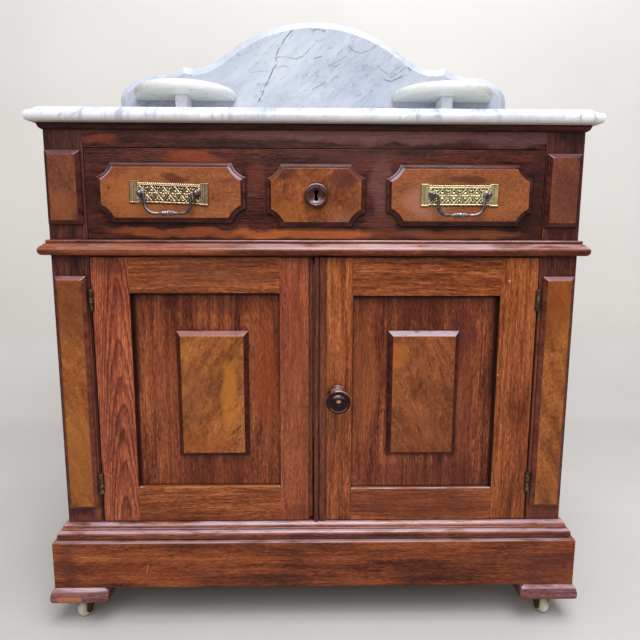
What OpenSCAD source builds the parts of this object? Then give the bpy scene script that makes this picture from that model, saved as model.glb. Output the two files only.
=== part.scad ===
// Walnut washstand with a marble top, a scrolled marble splashback and two
// marble candle shelves. One long drawer over a pair of panelled doors, on a
// plinth with four small casters.
// Millimetres. X runs across the front, +Y to the back, +Z up. The origin is
// on the floor at the centre of the footprint.

/* [Case] */
// Width of the case across the front posts
case_w = 734; // [700:1:780]
// Depth of the case from its face to the back boards
case_d = 365; // [345:1:395]
// Width of each front post
post_w = 52; // [50:0.5:58]
// Depth of each front post
post_d = 32; // [30:1:40]
// Width of each back post
back_post_w = 45; // [40:1:50]
// Depth of each back post
back_post_d = 32; // [30:1:40]
// Thickness of the side frames
side_t = 22; // [20:0.5:26]
// Height of each rail of the side frames
side_rail_h = 60; // [50:1:70]
// Thickness of the panels in the side frames
side_panel_t = 8; // [6:0.5:9]
// How far the side panels lie behind the outside of their frames
side_panel_set = 7; // [5:0.5:8]
// Height of the door opening
door_open_h = 394; // [370:1:420]
// Height of the rail between the doors and the drawer
mid_rail_h = 23; // [22:0.5:27]
// Height of the drawer opening
drawer_open_h = 123.5; // [118:0.5:136]
// Height of the rail above the drawer
top_rail_h = 31.5; // [28:0.5:40]
// Thickness of the back boards
back_board_t = 8; // [6:0.5:10]
// Number of back boards
back_board_n = 4; // [3:1:5]
// Width of the drawer runners
runner_w = 55; // [50:1:60]
// Height of the strips beside and above the drawer
guide_h = 14; // [10:1:18]

/* [Marble] */
// Thickness of the marble top
marble_t = 20; // [18:0.5:24]
// Overhang of the marble beyond each side of the case
marble_side = 17; // [16:0.5:24]
// Overhang of the marble in front of the case
marble_front = 20; // [16:0.5:26]
// Overhang of the marble behind the case
marble_back = 10; // [5:0.5:14]
// Width of the moulded edge seen from above
marble_edge = 14; // [10:0.5:16]
// Width of the splashback
splash_w = 737; // [700:1:760]
// Height of the splashback at its crown
splash_h = 221; // [205:1:235]
// Thickness of the splashback
splash_t = 20; // [18:0.5:24]
// Width of the bevel round the splashback
splash_bevel = 12; // [8:0.5:14]
// Depth of the bevel round the splashback
splash_bevel_d = 7; // [4:0.5:10]
// Height of the straight ends of the splashback
splash_end_h = 77; // [60:1:84]
// Middle of the splashback's shoulders, from its centre and from the marble top
splash_shoulder = [305, 123]; // [110:1:315]
// Points of the small cusps beside the arch
splash_cusp = [248, 140]; // [130:1:255]
// Where each side of the arch changes from round to hollow
splash_flank = [161, 168]; // [150:1:180]
// Width of each candle shelf
shelf_w = 188; // [170:1:196]
// Projection of each candle shelf
shelf_d = 114; // [100:1:124]
// Thickness of the candle shelves
shelf_t = 16; // [14:0.5:19]
// Distance from the centre line to the middle of each shelf
shelf_x = 242; // [232:1:252]
// Clear height under the candle shelves
shelf_z = 77; // [66:1:84]
// Width of the brackets under the shelves
bracket_w = 20; // [16:0.5:26]
// Projection of the brackets at their top
bracket_d = 56; // [46:1:70]
// Projection of the brackets at the marble top
bracket_foot_d = 40; // [34:1:46]

/* [Mouldings] */
// Projection of the strip under the marble
top_mould_p = 6; // [4:0.5:10]
// Height of the strip under the marble
top_mould_h = 8.5; // [6:0.5:10]
// Projection of the waist moulding
waist_p = 13.5; // [11:0.5:16]
// Height of the waist moulding
waist_h = 21; // [18:0.5:22]
// Projection of the base moulding
base_p = 14; // [11:0.5:16]
// Height of the base moulding
base_h = 24; // [20:0.5:27]

/* [Base] */
// Height of the plinth
plinth_h = 71; // [64:1:84]
// Projection of the plinth from the case
plinth_p = 19.5; // [18:0.5:24]
// Thickness of the plinth boards
plinth_t = 22; // [20.5:0.5:26]
// Height of the foot pads
foot_h = 23; // [19:0.5:28]
// Width and depth of each foot pad
foot_w = 86; // [78:1:94]
// Projection of the foot pads beyond the plinth
foot_p = 6; // [4:0.5:8]

/* [Raised blocks] */
// Width of the raised blocks on the posts beside the drawer
upper_block_w = 48; // [42:0.5:49]
// Height of the raised blocks on the posts beside the drawer
upper_block_h = 99; // [90:1:110]
// Width of the raised blocks on the posts beside the doors
lower_block_w = 44.5; // [40:0.5:46]
// Height of the raised blocks on the posts beside the doors
lower_block_h = 345; // [320:1:354]
// Thickness of the raised blocks on the posts
post_block_t = 8; // [6:0.5:9]
// Width of the bevel on the post blocks
post_block_bevel = 6; // [4:0.5:8]
// Space between the outer blocks and the ends of the drawer
block_margin = 16.5; // [12:0.5:20]
// Space between the outer blocks and the keyhole block
block_space = 29; // [24:1:38]
// Width of the keyhole block on the drawer
key_block_w = 135; // [120:1:145]
// Heights of the outer blocks on the drawer, left and right
drawer_block_h = [80, 82.5]; // [72:0.5:86]
// Height of the keyhole block
key_block_h = 84.5; // [78:0.5:90]
// Thickness of the blocks on the drawer
drawer_block_t = 9; // [7:0.5:11]
// Width of the moulded or bevelled edge of the drawer and door blocks
block_bevel = 7; // [5:0.5:9]
// Size of the scooped corners of the drawer blocks
scoop = 19; // [14:0.5:24]
// Depth of the hollow in each scooped corner
scoop_sag = 3.4; // [2:0.2:5]
// Width of the block on each door panel
door_block_w = 103; // [90:1:116]
// Height of the block on each door panel
door_block_h = 187; // [170:1:205]

/* [Doors] */
// Thickness of the door frames
door_t = 22; // [20:0.5:25]
// Gap round the doors
door_gap = 1; // [0.8:0.1:1.4]
// Width of the hinge stiles
hinge_stile_w = 52.5; // [48:0.5:58]
// Width of the meeting stile of the left door
left_meeting_w = 47.5; // [44:0.5:54]
// Width of the meeting stile of the right door
right_meeting_w = 55; // [52:0.5:60]
// Height of the top rails
door_top_rail = 51.5; // [48:0.5:60]
// Height of the bottom rails
door_bottom_rail = 51; // [46:0.5:58]
// Thickness of the door panels
door_panel_t = 7; // [5.5:0.5:7.5]
// How far the panels lie behind the faces of their frames
door_panel_set = 10; // [8:0.5:10.5]
// Place of the gap where the doors meet
meeting_x = -3.25; // [-6:0.25:0]
// Gap where the doors meet
meeting_gap = 1.5; // [1.3:0.1:2.2]
// Width of the rebate along the left door's meeting edge
rebate_w = 6.5; // [5:0.5:8]
// Depth of that rebate
rebate_d = 8; // [6:0.5:9]
// Width of the moulded strip along the right door's meeting edge
astragal_w = 17; // [14:0.5:19]
// Projection of that strip
astragal_p = 5; // [3.5:0.5:6]
// How far each door block lies off the middle of its panel
block_shift = [8, 1.5]; // [0:0.5:10]

/* [Drawer] */
// Thickness of the drawer front
drawer_front_t = 20; // [19:0.5:24]
// Thickness of the drawer sides and back
drawer_side_t = 12; // [11:0.5:14]
// Thickness of the drawer bottom
drawer_bottom_t = 6; // [5:0.5:7]
// Gap round the drawer front
drawer_gap = 1; // [0.8:0.1:1.4]
// Space behind the drawer when it is shut
drawer_back_space = 25; // [22:1:40]
// Height of the drawer bottom above the lower edge of the sides
drawer_bottom_up = 9; // [8:0.5:12]
// Number of dovetails at each corner
tail_n = 4; // [3:1:4]
// Width of a dovetail at its end
tail_w = 16; // [13:0.5:17]
// Width of a dovetail at its root
tail_root = 11; // [8:0.5:12]
// Wood left in front of the dovetails
tail_lap = 6; // [4.5:0.5:7]

/* [Pulls and lock] */
// How far each pull lies beyond the middle of its block, left and right
pull_out = [2, -1.5]; // [-4:0.5:6]
// Length of a backplate
plate_l = 105; // [98:1:112]
// Height of a backplate
plate_h = 31; // [28:0.5:34]
// Thickness of a backplate
plate_t = 1.2; // [1:0.1:1.6]
// Relief of the pattern on a backplate
plate_relief = 0.7; // [0.5:0.1:1]
// Tilt of the left backplate, which has slipped
plate_tilt = 1.8; // [0:0.1:2]
// Distance between the two studs of a pull
stud_pitch = 75; // [72:0.5:76]
// Diameter of a stud
stud_dia = 7.5; // [7:0.1:8.5]
// Distance from the plate to the axis of the bail
stud_reach = 9.5; // [8.5:0.5:12]
// Diameter of the bail wire
bail_dia = 3.6; // [3:0.1:3.8]
// Drop of the bail below its axis
bail_drop = 28; // [25:0.5:30]
// Radius of the lower corners of the bail
bail_corner = 12; // [9:0.5:13]
// Diameter of the swelling in the middle of the bail
bail_bulb = 6.4; // [5:0.2:7.4]
// Diameter of the keyhole ring
ring_dia = 31.6; // [28:0.2:34]
// Projection of the keyhole ring
ring_p = 6.5; // [5:0.5:8]
// Diameter of the round end of the keyhole
key_dia = 7.6; // [7:0.2:8.4]
// Height of the keyhole
key_h = 16; // [14:0.5:17]
// Width of the lock case
lock_w = 60; // [50:1:70]
// Height of the lock case
lock_h = 76; // [72:1:82]
// Thickness of the lock case
lock_t = 10; // [9:0.5:11]
// Travel of the lock bolt
bolt_travel = 6; // [4:0.5:8]

/* [Knob and hinges] */
// Diameter of the door knob
knob_dia = 34.2; // [30:0.2:38]
// Projection of the door knob
knob_p = 54; // [48:0.5:58]
// Distance from the meeting edge to the knob
knob_in = 33; // [28:0.5:35]
// Height of the knob above the door's lower edge
knob_up = 196; // [170:1:220]
// Length of a hinge
hinge_l = 30; // [28:1:40]
// Width of a hinge leaf
leaf_w = 14; // [12:0.5:16]
// Thickness of a hinge leaf
leaf_t = 1.2; // [1:0.1:1.5]
// Diameter of the hinge knuckles
knuckle_dia = 5; // [4.6:0.1:5.4]
// Diameter of the hinge pins
pin_dia = 2.2; // [1.8:0.1:2.4]
// Number of knuckles in a hinge
knuckle_n = 5; // [3:2:5]
// Distance from the ends of a door to the middle of each hinge
hinge_in = 60; // [50:1:75]

/* [Casters] */
// Diameter of a caster wheel
wheel_dia = 26; // [24:0.5:28]
// Width of a caster wheel
wheel_w = 15; // [13:0.5:17]
// Distance from the swivel to the wheel's axle
trail = 9; // [7:0.5:11]
// Height of the foot pads above the floor
caster_h = 41; // [40:0.5:44]
// Diameter of the caster plates
caster_plate_dia = 36; // [32:1:42]
// Thickness of the caster plates
caster_plate_t = 2.5; // [2:0.5:3]
// Diameter of a swivel stem
stem_dia = 6; // [5:0.5:6.5]
// Diameter of a wheel axle
axle_dia = 5; // [4:0.5:5.5]
// How far each caster has turned: front left, front right, back left, back right
caster_turn = [-32, 24, -150, 160]; // [-180:1:180]

/* [Hidden] */

walnut = "#6e3b22";
burl = "#a5602f";
pine = "#b98d5b";
marble = "#e8e8ec";
brass = "#a88b52";
bronze = "#4a3f37";
iron = "#35302d";
porcelain = "#ece6d6";

// Between a moving piece and what it rests on
seat_gap = 0.3;
// Each side of a panel or a tongue in its groove
groove_gap = 0.15;
// Round a pin in its bore
pin_gap = 0.05;
// How far a cutting shape runs past the surface
cut = 1;
// Depth of the panel grooves
groove_d = 8;
// Square edge of a raised block below its bevel
block_edge = 2.5;
// How far the short post blocks lie below the middle of their posts and beyond
// their centre lines, left and right
upper_block_drop = [3, 5];
upper_block_out = [1.5, -1];
// How far the long post blocks lie below and beyond the middle of their posts
lower_block_drop = 3.6;
lower_block_out = 1.5;
// The drawer's line of fittings above the middle of its opening
pull_rise = 2;
// How far each pull hangs below that line, left and right
pull_drop = [1, 2.5];
// How far each outer drawer block lies below that line, left and right
side_block_drop = [0, 2.5];
// How far the keyhole and its block lie below that line
keyhole_drop = 3;
// How far each door's rails lie above their even places, left and right
rail_rise = [1.5, -2];
// How far the door blocks lie below the middle of their doors
door_block_drop = 3;
$fn = 48;

half_w = case_w / 2;
open_x = half_w - post_w;
back_x = half_w - back_post_w;
side_x = half_w - side_t;
rail_d = door_t + seat_gap;
// Half the length of the drawer front
drawer_x = open_x - drawer_gap;
side_block_w = drawer_x - block_margin - block_space - key_block_w / 2;
side_block_x = drawer_x - block_margin - side_block_w / 2;

// Heights, from the floor up
z_plinth = caster_h + foot_h;
z_floor = z_plinth + plinth_h;
z_doors = z_floor + base_h;
z_mid = z_doors + door_open_h;
z_drawer = z_mid + mid_rail_h;
z_top_rail = z_drawer + drawer_open_h;
z_marble = z_top_rail + top_rail_h;
z_deck = z_marble + marble_t;
z_shelf = z_deck + shelf_z;
z_waist = z_drawer - waist_h;
pull_z = z_drawer + drawer_open_h / 2 + pull_rise;
keyhole_z = pull_z - keyhole_drop;
// Depth of the strip that the doors close against
stop_d = 12;

// Depths, measured from the face of the case: stand() puts them in place
plinth_reach = plinth_p + foot_p;
back_y = case_d + marble_back;
front_y = (max(knob_p, plinth_reach, marble_front) - back_y) / 2;
back_post_y = case_d - back_post_d;
board_y = case_d - back_board_t;
splash_y = back_y - splash_t;

module stand() {
  translate([0, front_y, 0])
    children();
}

// A box given by its two ends along each axis
module box(x, y, z) {
  translate([min(x), min(y), min(z)])
    cube([abs(x[1] - x[0]), abs(y[1] - y[0]), abs(z[1] - z[0])]);
}

module both_sides() {
  children();
  mirror([1, 0, 0])
    children();
}

// A (y, z) outline drawn out along X
module along_x(x0, x1) {
  translate([x0, 0, 0])
    rotate([90, 0, 90])
      linear_extrude(x1 - x0)
        children();
}

// Turns a shape built on Z so that it stands out from the face of the case
module on_face(x, y, z) {
  translate([x, y, z])
    rotate([90, 0, 0])
      children();
}

function arc(cx, cy, rx, ry, a0, a1, n = 6) =
  [for (i = [0:n])
    let (a = a0 + (a1 - a0) * i / n)
    [cx + rx * cos(a), cy + ry * sin(a)]];

function bezier(p, n) =
  [for (i = [0:n])
    let (t = i / n, u = 1 - t)
    u * u * u * p[0] + 3 * u * u * t * p[1] + 3 * u * t * t * p[2] + t * t * t * p[3]];

function unit(v) = v / norm(v);

function turned_left(v) = [-v.y, v.x];

function butlast(list) = [for (i = [0:len(list) - 2]) list[i]];

function backward(list) = [for (i = [len(list) - 1:-1:0]) list[i]];

function oblong(w, h) =
  [[-w / 2, -h / 2], [w / 2, -h / 2], [w / 2, h / 2], [-w / 2, h / 2]];

// An anticlockwise outline drawn in by d, corner by corner
function inset(pts, d) =
  let (n = len(pts))
  [for (i = [0:n - 1])
    let (a = turned_left(unit(pts[i] - pts[(i + n - 1) % n])),
         b = turned_left(unit(pts[(i + 1) % n] - pts[i])))
    pts[i] + d * (a + b) / (1 + a * b)];

// A closed skin over a row of matching outlines, each of which runs clockwise
// when seen from the first towards the last
module skin(rings) {
  n = len(rings[0]);
  last = (len(rings) - 1) * n;
  sides = [for (k = [0:n:last - n]) for (i = [0:n - 1])
    let (j = (i + 1) % n)
    [k + i, k + n + i, k + n + j, k + j]];
  near = [for (i = [0:n - 1]) i];
  far = [for (i = [n - 1:-1:0]) last + i];
  polyhedron([for (ring = rings) for (p = ring) p], concat([near, far], sides));
}

// A solid that rises from its outline through a list of [inset, height] steps
module stepped(outline, steps) {
  skin([for (s = steps) [for (p = inset(outline, s[0])) [p.x, p.y, s[1]]]]);
}

// A moulding along the front and both sides, mitred at the corners. The
// profile is a list of [projection, height] points, anticlockwise.
module mitred(profile) {
  q = backward(profile);
  skin([
    [for (p = q) [-half_w - p.x, case_d, p.y]],
    [for (p = q) [-half_w - p.x, -p.x, p.y]],
    [for (p = q) [half_w + p.x, -p.x, p.y]],
    [for (p = q) [half_w + p.x, case_d, p.y]]]);
}

// ---- marble ----

// Ogee edge: an undercut, a bold nose, a fillet and a hollow up to the top, in
// shares of the edge's width and the marble's thickness
function ogee_edge(w, t) =
  concat([[w * 0.6, 0]],
    [for (a = [-75:25:75]) [w * 0.28 * (1 - cos(a)), t * (0.36 + 0.33 * sin(a))]],
    [[w * 0.44, t * 0.72], [w * 0.56, t * 0.76], [w * 0.74, t * 0.86], [w, t]]);

// Rounded edge with a flat top and underside
function round_edge(w, t) =
  [for (a = [-90:22.5:90]) [w * (1 - cos(a)), t * (0.5 + 0.5 * sin(a))]];

module marble_top() stand() color(marble) {
  w = case_w + 2 * marble_side;
  d = back_y + marble_front + marble_edge;
  difference() {
    translate([0, d / 2 - marble_front, z_marble])
      stepped(oblong(w, d), ogee_edge(marble_edge, marble_t));
    box([-w, w], [back_y, back_y + d], [z_marble - cut, z_deck + cut]);
  }
}

// The right half of the splashback's outline, from its end up to the crown
function splash_half() =
  let (end = [splash_w / 2, splash_end_h], crown = [0, splash_h])
  concat(
    butlast(bezier([end, end + [0, 27], splash_shoulder + [30, 0], splash_shoulder], 10)),
    butlast(bezier([splash_shoulder, splash_shoulder - [23, 0],
      splash_cusp + [14, -12], splash_cusp], 8)),
    butlast(bezier([splash_cusp, splash_cusp - [36, 13],
      splash_flank + [25, -18], splash_flank], 10)),
    bezier([splash_flank, splash_flank + [-36, 26], crown + [70, 0], crown], 14));

function splash_outline(below) =
  let (right = splash_half())
  concat([[-splash_w / 2, -below], [splash_w / 2, -below]], right,
    [for (i = [len(right) - 2:-1:0]) [-right[i].x, right[i].y]]);

// The bevel follows the ends and the top, and the foot is square
module splashback() stand() color(marble) {
  outline = splash_outline(2 * splash_bevel);
  steps = [[0, 0], [0, splash_t - splash_bevel_d], [splash_bevel, splash_t]];
  on_face(0, back_y, z_deck)
    skin([for (s = steps) [for (p = inset(outline, s[0])) [p.x, max(p.y, 0), s[1]]]]);
}

function shelf_outline(behind) =
  concat(arc(0, 0, shelf_w / 2, shelf_d, 180, 360, 32),
    [[shelf_w / 2, behind], [-shelf_w / 2, behind]]);

module candle_shelves() stand() color(marble) {
  both_sides()
    difference() {
      translate([shelf_x, splash_y, z_shelf])
        stepped(shelf_outline(shelf_t), round_edge(shelf_t / 3, shelf_t));
      box([shelf_x - shelf_w, shelf_x + shelf_w], [splash_y, splash_y + 2 * shelf_t],
        [z_shelf - cut, z_shelf + shelf_t + cut]);
    }
}

module shelf_brackets() stand() color(marble) {
  both_sides()
    translate([0, splash_y, z_deck])
      along_x(shelf_x - bracket_w / 2, shelf_x + bracket_w / 2)
        polygon(concat([[0, 0], [-bracket_foot_d, 0]],
          bezier([[-bracket_foot_d, shelf_z * 0.1], [-bracket_foot_d + 14, shelf_z * 0.45],
            [-bracket_d, shelf_z * 0.5], [-bracket_d, shelf_z * 0.86]], 10),
          [[-bracket_d, shelf_z], [0, shelf_z]]));
}

// ---- case ----

panel_x = [half_w - side_panel_set - side_panel_t, half_w - side_panel_set];
groove_x = panel_x + [-groove_gap, groove_gap];
full_z = [z_floor, z_marble];
side_rail_z = [z_floor, z_waist + waist_h / 2 - side_rail_h / 2, z_marble - side_rail_h];
hinge_z = [z_doors + door_gap + hinge_in, z_mid - door_gap - hinge_in];

module front_posts() stand() color(walnut) {
  both_sides()
    difference() {
      box([open_x, half_w], [0, post_d], full_z);
      box(groove_x, [post_d - groove_d, post_d + cut], full_z + [-cut, cut]);
      for (z = hinge_z)
        box([open_x - cut, open_x + leaf_t], [-cut, leaf_w],
          [z - hinge_l / 2, z + hinge_l / 2]);
    }
}

module back_posts() stand() color(walnut) {
  both_sides()
    difference() {
      box([back_x, half_w], [back_post_y, case_d], full_z);
      box(groove_x, [back_post_y - cut, back_post_y + groove_d], full_z + [-cut, cut]);
    }
}

module side_rails() stand() color(walnut) {
  tongue = groove_d - seat_gap;
  ends = [post_d - tongue, back_post_y + tongue];
  both_sides()
    for (z = side_rail_z)
      difference() {
        union() {
          box([side_x, half_w], [post_d, back_post_y], [z, z + side_rail_h]);
          box(panel_x, ends, [z, z + side_rail_h]);
        }
        if (z > side_rail_z[0])
          box(groove_x, ends + [-cut, cut], [z - cut, z + groove_d]);
        if (z < side_rail_z[2])
          box(groove_x, ends + [-cut, cut],
            [z + side_rail_h - groove_d, z + side_rail_h + cut]);
      }
}

module side_panels() stand() color(walnut) {
  into = groove_d - 2 * seat_gap;
  both_sides()
    for (i = [0, 1])
      box(panel_x, [post_d - into, back_post_y + into],
        [side_rail_z[i] + side_rail_h - into, side_rail_z[i + 1] + into]);
}

module back_boards() stand() color(pine) {
  w = 2 * back_x / back_board_n;
  for (i = [0:back_board_n - 1])
    box([-back_x + i * w, -back_x + (i + 1) * w - seat_gap], [board_y, case_d], full_z);
}

module top_rails() stand() color(walnut) {
  z = [z_top_rail, z_marble];
  difference() {
    box([-open_x, open_x], [0, rail_d], z);
    box([-bolt_w / 2 - seat_gap, bolt_w / 2 + seat_gap],
      [lock_y - bolt_t / 2 - seat_gap, lock_y + bolt_t / 2 + seat_gap],
      [z_top_rail - cut, bolt_top + bolt_travel + cut]);
  }
  box([-back_x, back_x], [board_y - rail_d, board_y], z);
}

module middle_rails() stand() color(walnut) {
  z = [z_mid, z_drawer];
  box([-open_x, open_x], [0, rail_d], z);
  box([-back_x, back_x], [board_y - rail_d, board_y], z);
}

module cupboard_floor() stand() color(walnut) {
  right = [[open_x, 0], [open_x, post_d], [side_x, post_d], [side_x, back_post_y],
    [back_x, back_post_y], [back_x, board_y]];
  left = [for (p = backward(right)) [-p.x, p.y]];
  translate([0, 0, z_floor])
    linear_extrude(base_h)
      polygon(concat(right, left));
}

module drawer_runners() stand() color(pine) {
  y = [post_d, back_post_y];
  both_sides() {
    box([side_x - runner_w, side_x], y, [z_mid, z_drawer]);
    box([drawer_x + seat_gap, side_x], y, [z_drawer, z_drawer + guide_h]);
    box([side_x - runner_w, side_x], y, [z_top_rail, z_top_rail + guide_h]);
  }
}

module door_stop() stand() color(pine) {
  x = side_x - runner_w - seat_gap;
  box([-x, x], [rail_d, rail_d + stop_d], [z_mid - stop_d, z_drawer]);
}

module top_moulding() stand() color(walnut) {
  mitred(concat([[0, z_marble - top_mould_h]],
    arc(0, z_marble, top_mould_p, top_mould_h, -75, 0), [[0, z_marble]]));
}

// A bold bead below, then a slope up to a smaller bead, in shares of the
// moulding's projection and height
function waist_profile(p, h) =
  concat([[0, 0], [p * 0.62, 0]],
    arc(p * 0.62, h * 0.3, p * 0.38, h * 0.3, -75, 50, 7),
    [[p * 0.42, h * 0.76], [p * 0.32, h * 0.76]],
    arc(p * 0.24, h * 0.88, p * 0.13, h * 0.12, -60, 90, 6),
    [[0, h]]);

// A bold bead below, a quirk, and a rounded step above, in the same shares
function base_profile(p, h) =
  concat([[0, 0], [p * 0.74, 0]],
    arc(p * 0.72, h * 0.28, p * 0.28, h * 0.28, -70, 80, 8),
    [[p * 0.6, h * 0.58], [p * 0.6, h * 0.66]],
    arc(p * 0.12, h * 0.7, p * 0.42, h * 0.3, 5, 85, 6),
    [[0, h]]);

module waist_moulding() stand() color(walnut) {
  mitred([for (q = waist_profile(waist_p, waist_h)) q + [0, z_waist]]);
}

module base_moulding() stand() color(walnut) {
  mitred([for (q = base_profile(base_p, base_h)) q + [0, z_floor]]);
}

module plinth() stand() color(walnut) {
  inner = plinth_p - plinth_t;
  mitred([[inner, z_plinth], [plinth_p, z_plinth], [plinth_p, z_floor - cut],
    [plinth_p - cut, z_floor], [inner, z_floor]]);
  box([-half_w - inner, half_w + inner], [case_d - plinth_t, case_d], [z_plinth, z_floor]);
}

foot_x = half_w + plinth_reach - foot_w / 2;
foot_y = [foot_w / 2 - plinth_reach, case_d - foot_w / 2];

module plinth_blocks() stand() color(pine) {
  inner = plinth_p - plinth_t;
  x = [foot_x - foot_w / 2, half_w + inner];
  both_sides() {
    box(x, [-inner, foot_y[0] + foot_w / 2], [z_plinth, z_floor]);
    box(x, [foot_y[1] - foot_w / 2, case_d - plinth_t], [z_plinth, z_floor]);
  }
}

// Pads with a thumbnail edge, as [inset, share of the height] steps
module feet() stand() color(walnut) {
  steps = [[4, 0], [1.2, 0.1], [0.2, 0.26], [0, 0.4], [0.6, 0.58], [2.2, 0.8], [foot_p, 1]];
  both_sides()
    for (y = foot_y)
      translate([foot_x, y, caster_h])
        stepped(oblong(foot_w, foot_w), [for (s = steps) [s[0], s[1] * foot_h]]);
}

// ---- raised blocks ----

function bevelled(bevel, t) = [[0, 0], [0, block_edge], [bevel, t]];

module upper_post_blocks() stand() color(burl) {
  z = (z_drawer + z_marble - top_mould_h) / 2;
  x = [for (out = upper_block_out) half_w - post_w / 2 + out];
  for (i = [0, 1])
    on_face(i == 0 ? -x[0] : x[1], 0, z - upper_block_drop[i])
      stepped(oblong(upper_block_w, upper_block_h), bevelled(post_block_bevel, post_block_t));
}

module lower_post_blocks() stand() color(burl) {
  z = (z_doors + z_waist) / 2 - lower_block_drop;
  both_sides()
    on_face(half_w - post_w / 2 + lower_block_out, 0, z)
      stepped(oblong(lower_block_w, lower_block_h), bevelled(post_block_bevel, post_block_t));
}

// One hollow corner, running anticlockwise, with the square corner at [0, 0]
function scooped(a, sag) =
  let (half = a / sqrt(2),
       r = (half * half + sag * sag) / (2 * sag),
       c = (r - sag) / sqrt(2) - a / 2,
       spread = asin(half / r))
  [for (i = [0:6])
    let (t = 225 + spread * (1 - i / 3))
    [c + r * cos(t), c + r * sin(t)]];

// An oblong with four hollow corners
function scooped_oblong(w, h) =
  let (s = scooped(scoop, scoop_sag), corner = [w / 2, h / 2])
  concat(
    [for (p = s) corner + p],
    [for (p = backward(s)) [-corner.x - p.x, corner.y + p.y]],
    [for (p = s) -corner - p],
    [for (p = backward(s)) [corner.x + p.x, -corner.y - p.y]]);

// A small round, a hollow and a thin lip, as [inset, height] steps in shares of
// the edge's width and the block's thickness
function moulded(w, t) =
  concat([[0, 0]],
    arc(w * 0.16, t * 0.28, w * 0.16, t * 0.14, 180, 100, 2),
    arc(w * 0.22, t * 0.92, w * 0.62, t * 0.48, 280, 350, 4),
    [[w * 0.86, t * 0.95], [w, t]]);

module scooped_block(x, z, w, h) {
  on_face(x, 0, z)
    stepped(scooped_oblong(w, h), moulded(block_bevel, drawer_block_t));
}

module side_block(side) {
  i = side < 0 ? 0 : 1;
  difference() {
    scooped_block(side * side_block_x, pull_z - side_block_drop[i], side_block_w,
      drawer_block_h[i]);
    stud_holes(side);
  }
}

module drawer_left_block() stand() color(burl) side_block(-1);

module drawer_right_block() stand() color(burl) side_block(1);

module drawer_key_block() stand() color(burl) {
  difference() {
    scooped_block(0, keyhole_z, key_block_w, key_block_h);
    keyhole(0);
  }
}

// ---- drawer ----

drawer_z = [z_drawer + seat_gap, z_top_rail - drawer_gap];
drawer_end = case_d - drawer_back_space;
drawer_in = drawer_x - drawer_side_t;
bottom_z = [drawer_z[0] + drawer_bottom_up, drawer_z[0] + drawer_bottom_up + drawer_bottom_t];
bottom_in = 5;
tail_margin = 3;
tail_z = [bottom_z[1] + tail_margin, drawer_z[1] - tail_margin];

// A row of dovetails that widen from their root to their end and, for a
// socket, run on past that end at the same slope
module tails(root_y, end_y, grow = 0, run_on = 0) {
  pitch = (tail_z[1] - tail_z[0]) / tail_n;
  way = sign(root_y - end_y);
  flare = (tail_w - tail_root) / 2 * run_on / abs(root_y - end_y);
  root = tail_root / 2 + grow;
  end = tail_w / 2 + flare + grow;
  far_y = end_y - way * run_on;
  for (i = [0:tail_n - 1])
    translate([0, tail_z[0] + (i + 0.5) * pitch])
      polygon([[root_y + way * cut, -root], [root_y, -root], [far_y, -end],
        [far_y, end], [root_y, root], [root_y + way * cut, root]]);
}

module bottom_groove(grow) {
  x = drawer_in + bottom_in + grow;
  box([-x, x], [drawer_front_t - bottom_in - grow, drawer_end + cut],
    bottom_z + [-grow, grow]);
}

module drawer_front() stand() color(walnut) {
  difference() {
    box([-drawer_x, drawer_x], [0, drawer_front_t], [z_drawer + drawer_gap, drawer_z[1]]);
    both_sides()
      along_x(drawer_in - groove_gap, drawer_x + cut)
        tails(drawer_front_t, tail_lap, groove_gap, groove_gap);
    bottom_groove(groove_gap);
    box([-lock_w / 2, lock_w / 2], [drawer_front_t - lock_t, drawer_front_t + cut],
      [drawer_z[1] - lock_h, drawer_z[1] + cut]);
    keyhole(drawer_front_t);
    for (side = [-1, 1])
      stud_holes(side);
  }
}

module drawer_sides() stand() color(pine) {
  heel = drawer_end - drawer_side_t;
  both_sides()
    difference() {
      union() {
        box([drawer_in, drawer_x], [drawer_front_t, heel], drawer_z);
        box([drawer_in, drawer_x], [heel - cut, drawer_end], [drawer_z[0], bottom_z[1]]);
        along_x(drawer_in, drawer_x)
          tails(drawer_front_t, tail_lap);
        along_x(drawer_in, drawer_x)
          tails(heel, drawer_end);
      }
      bottom_groove(groove_gap);
    }
}

module drawer_back() stand() color(pine) {
  root = drawer_end - drawer_side_t;
  difference() {
    box([-drawer_x, drawer_x], [root, drawer_end], [bottom_z[1] + groove_gap, drawer_z[1]]);
    both_sides()
      along_x(drawer_in - groove_gap, drawer_x + cut)
        tails(root, drawer_end, groove_gap, cut);
  }
}

module drawer_bottom() stand() color(pine) {
  x = drawer_in + bottom_in;
  box([-x, x], [drawer_front_t - bottom_in, drawer_end], bottom_z);
}

// ---- pulls and lock ----

plate_y = -drawer_block_t - plate_t;
bail_y = plate_y - stud_reach;
bail_r = bail_dia / 2;
elbow_r = bail_r + seat_gap;
leg_x = stud_pitch / 2 - stud_dia / 2 - elbow_r - seat_gap / 2;
shank_dia = 4;
nut_w = 9;
nut_t = 3;
collar_r = stud_dia / 2 + 1.5;

// The middle of a pull, across the case and up
function pull_x(side) = side * (side_block_x + pull_out[side < 0 ? 0 : 1]);
function pull_top(side) = pull_z - pull_drop[side < 0 ? 0 : 1];

module at_studs(side) {
  for (k = [-1, 1])
    on_face(pull_x(side) + k * stud_pitch / 2, plate_y, pull_top(side))
      children();
}

module stud_holes(side) {
  at_studs(side)
    translate([0, 0, -drawer_block_t - drawer_front_t - plate_t - cut])
      cylinder(h = drawer_block_t + drawer_front_t + 2 * plate_t + 2 * cut,
        d = shank_dia + 4 * pin_gap);
}

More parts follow.
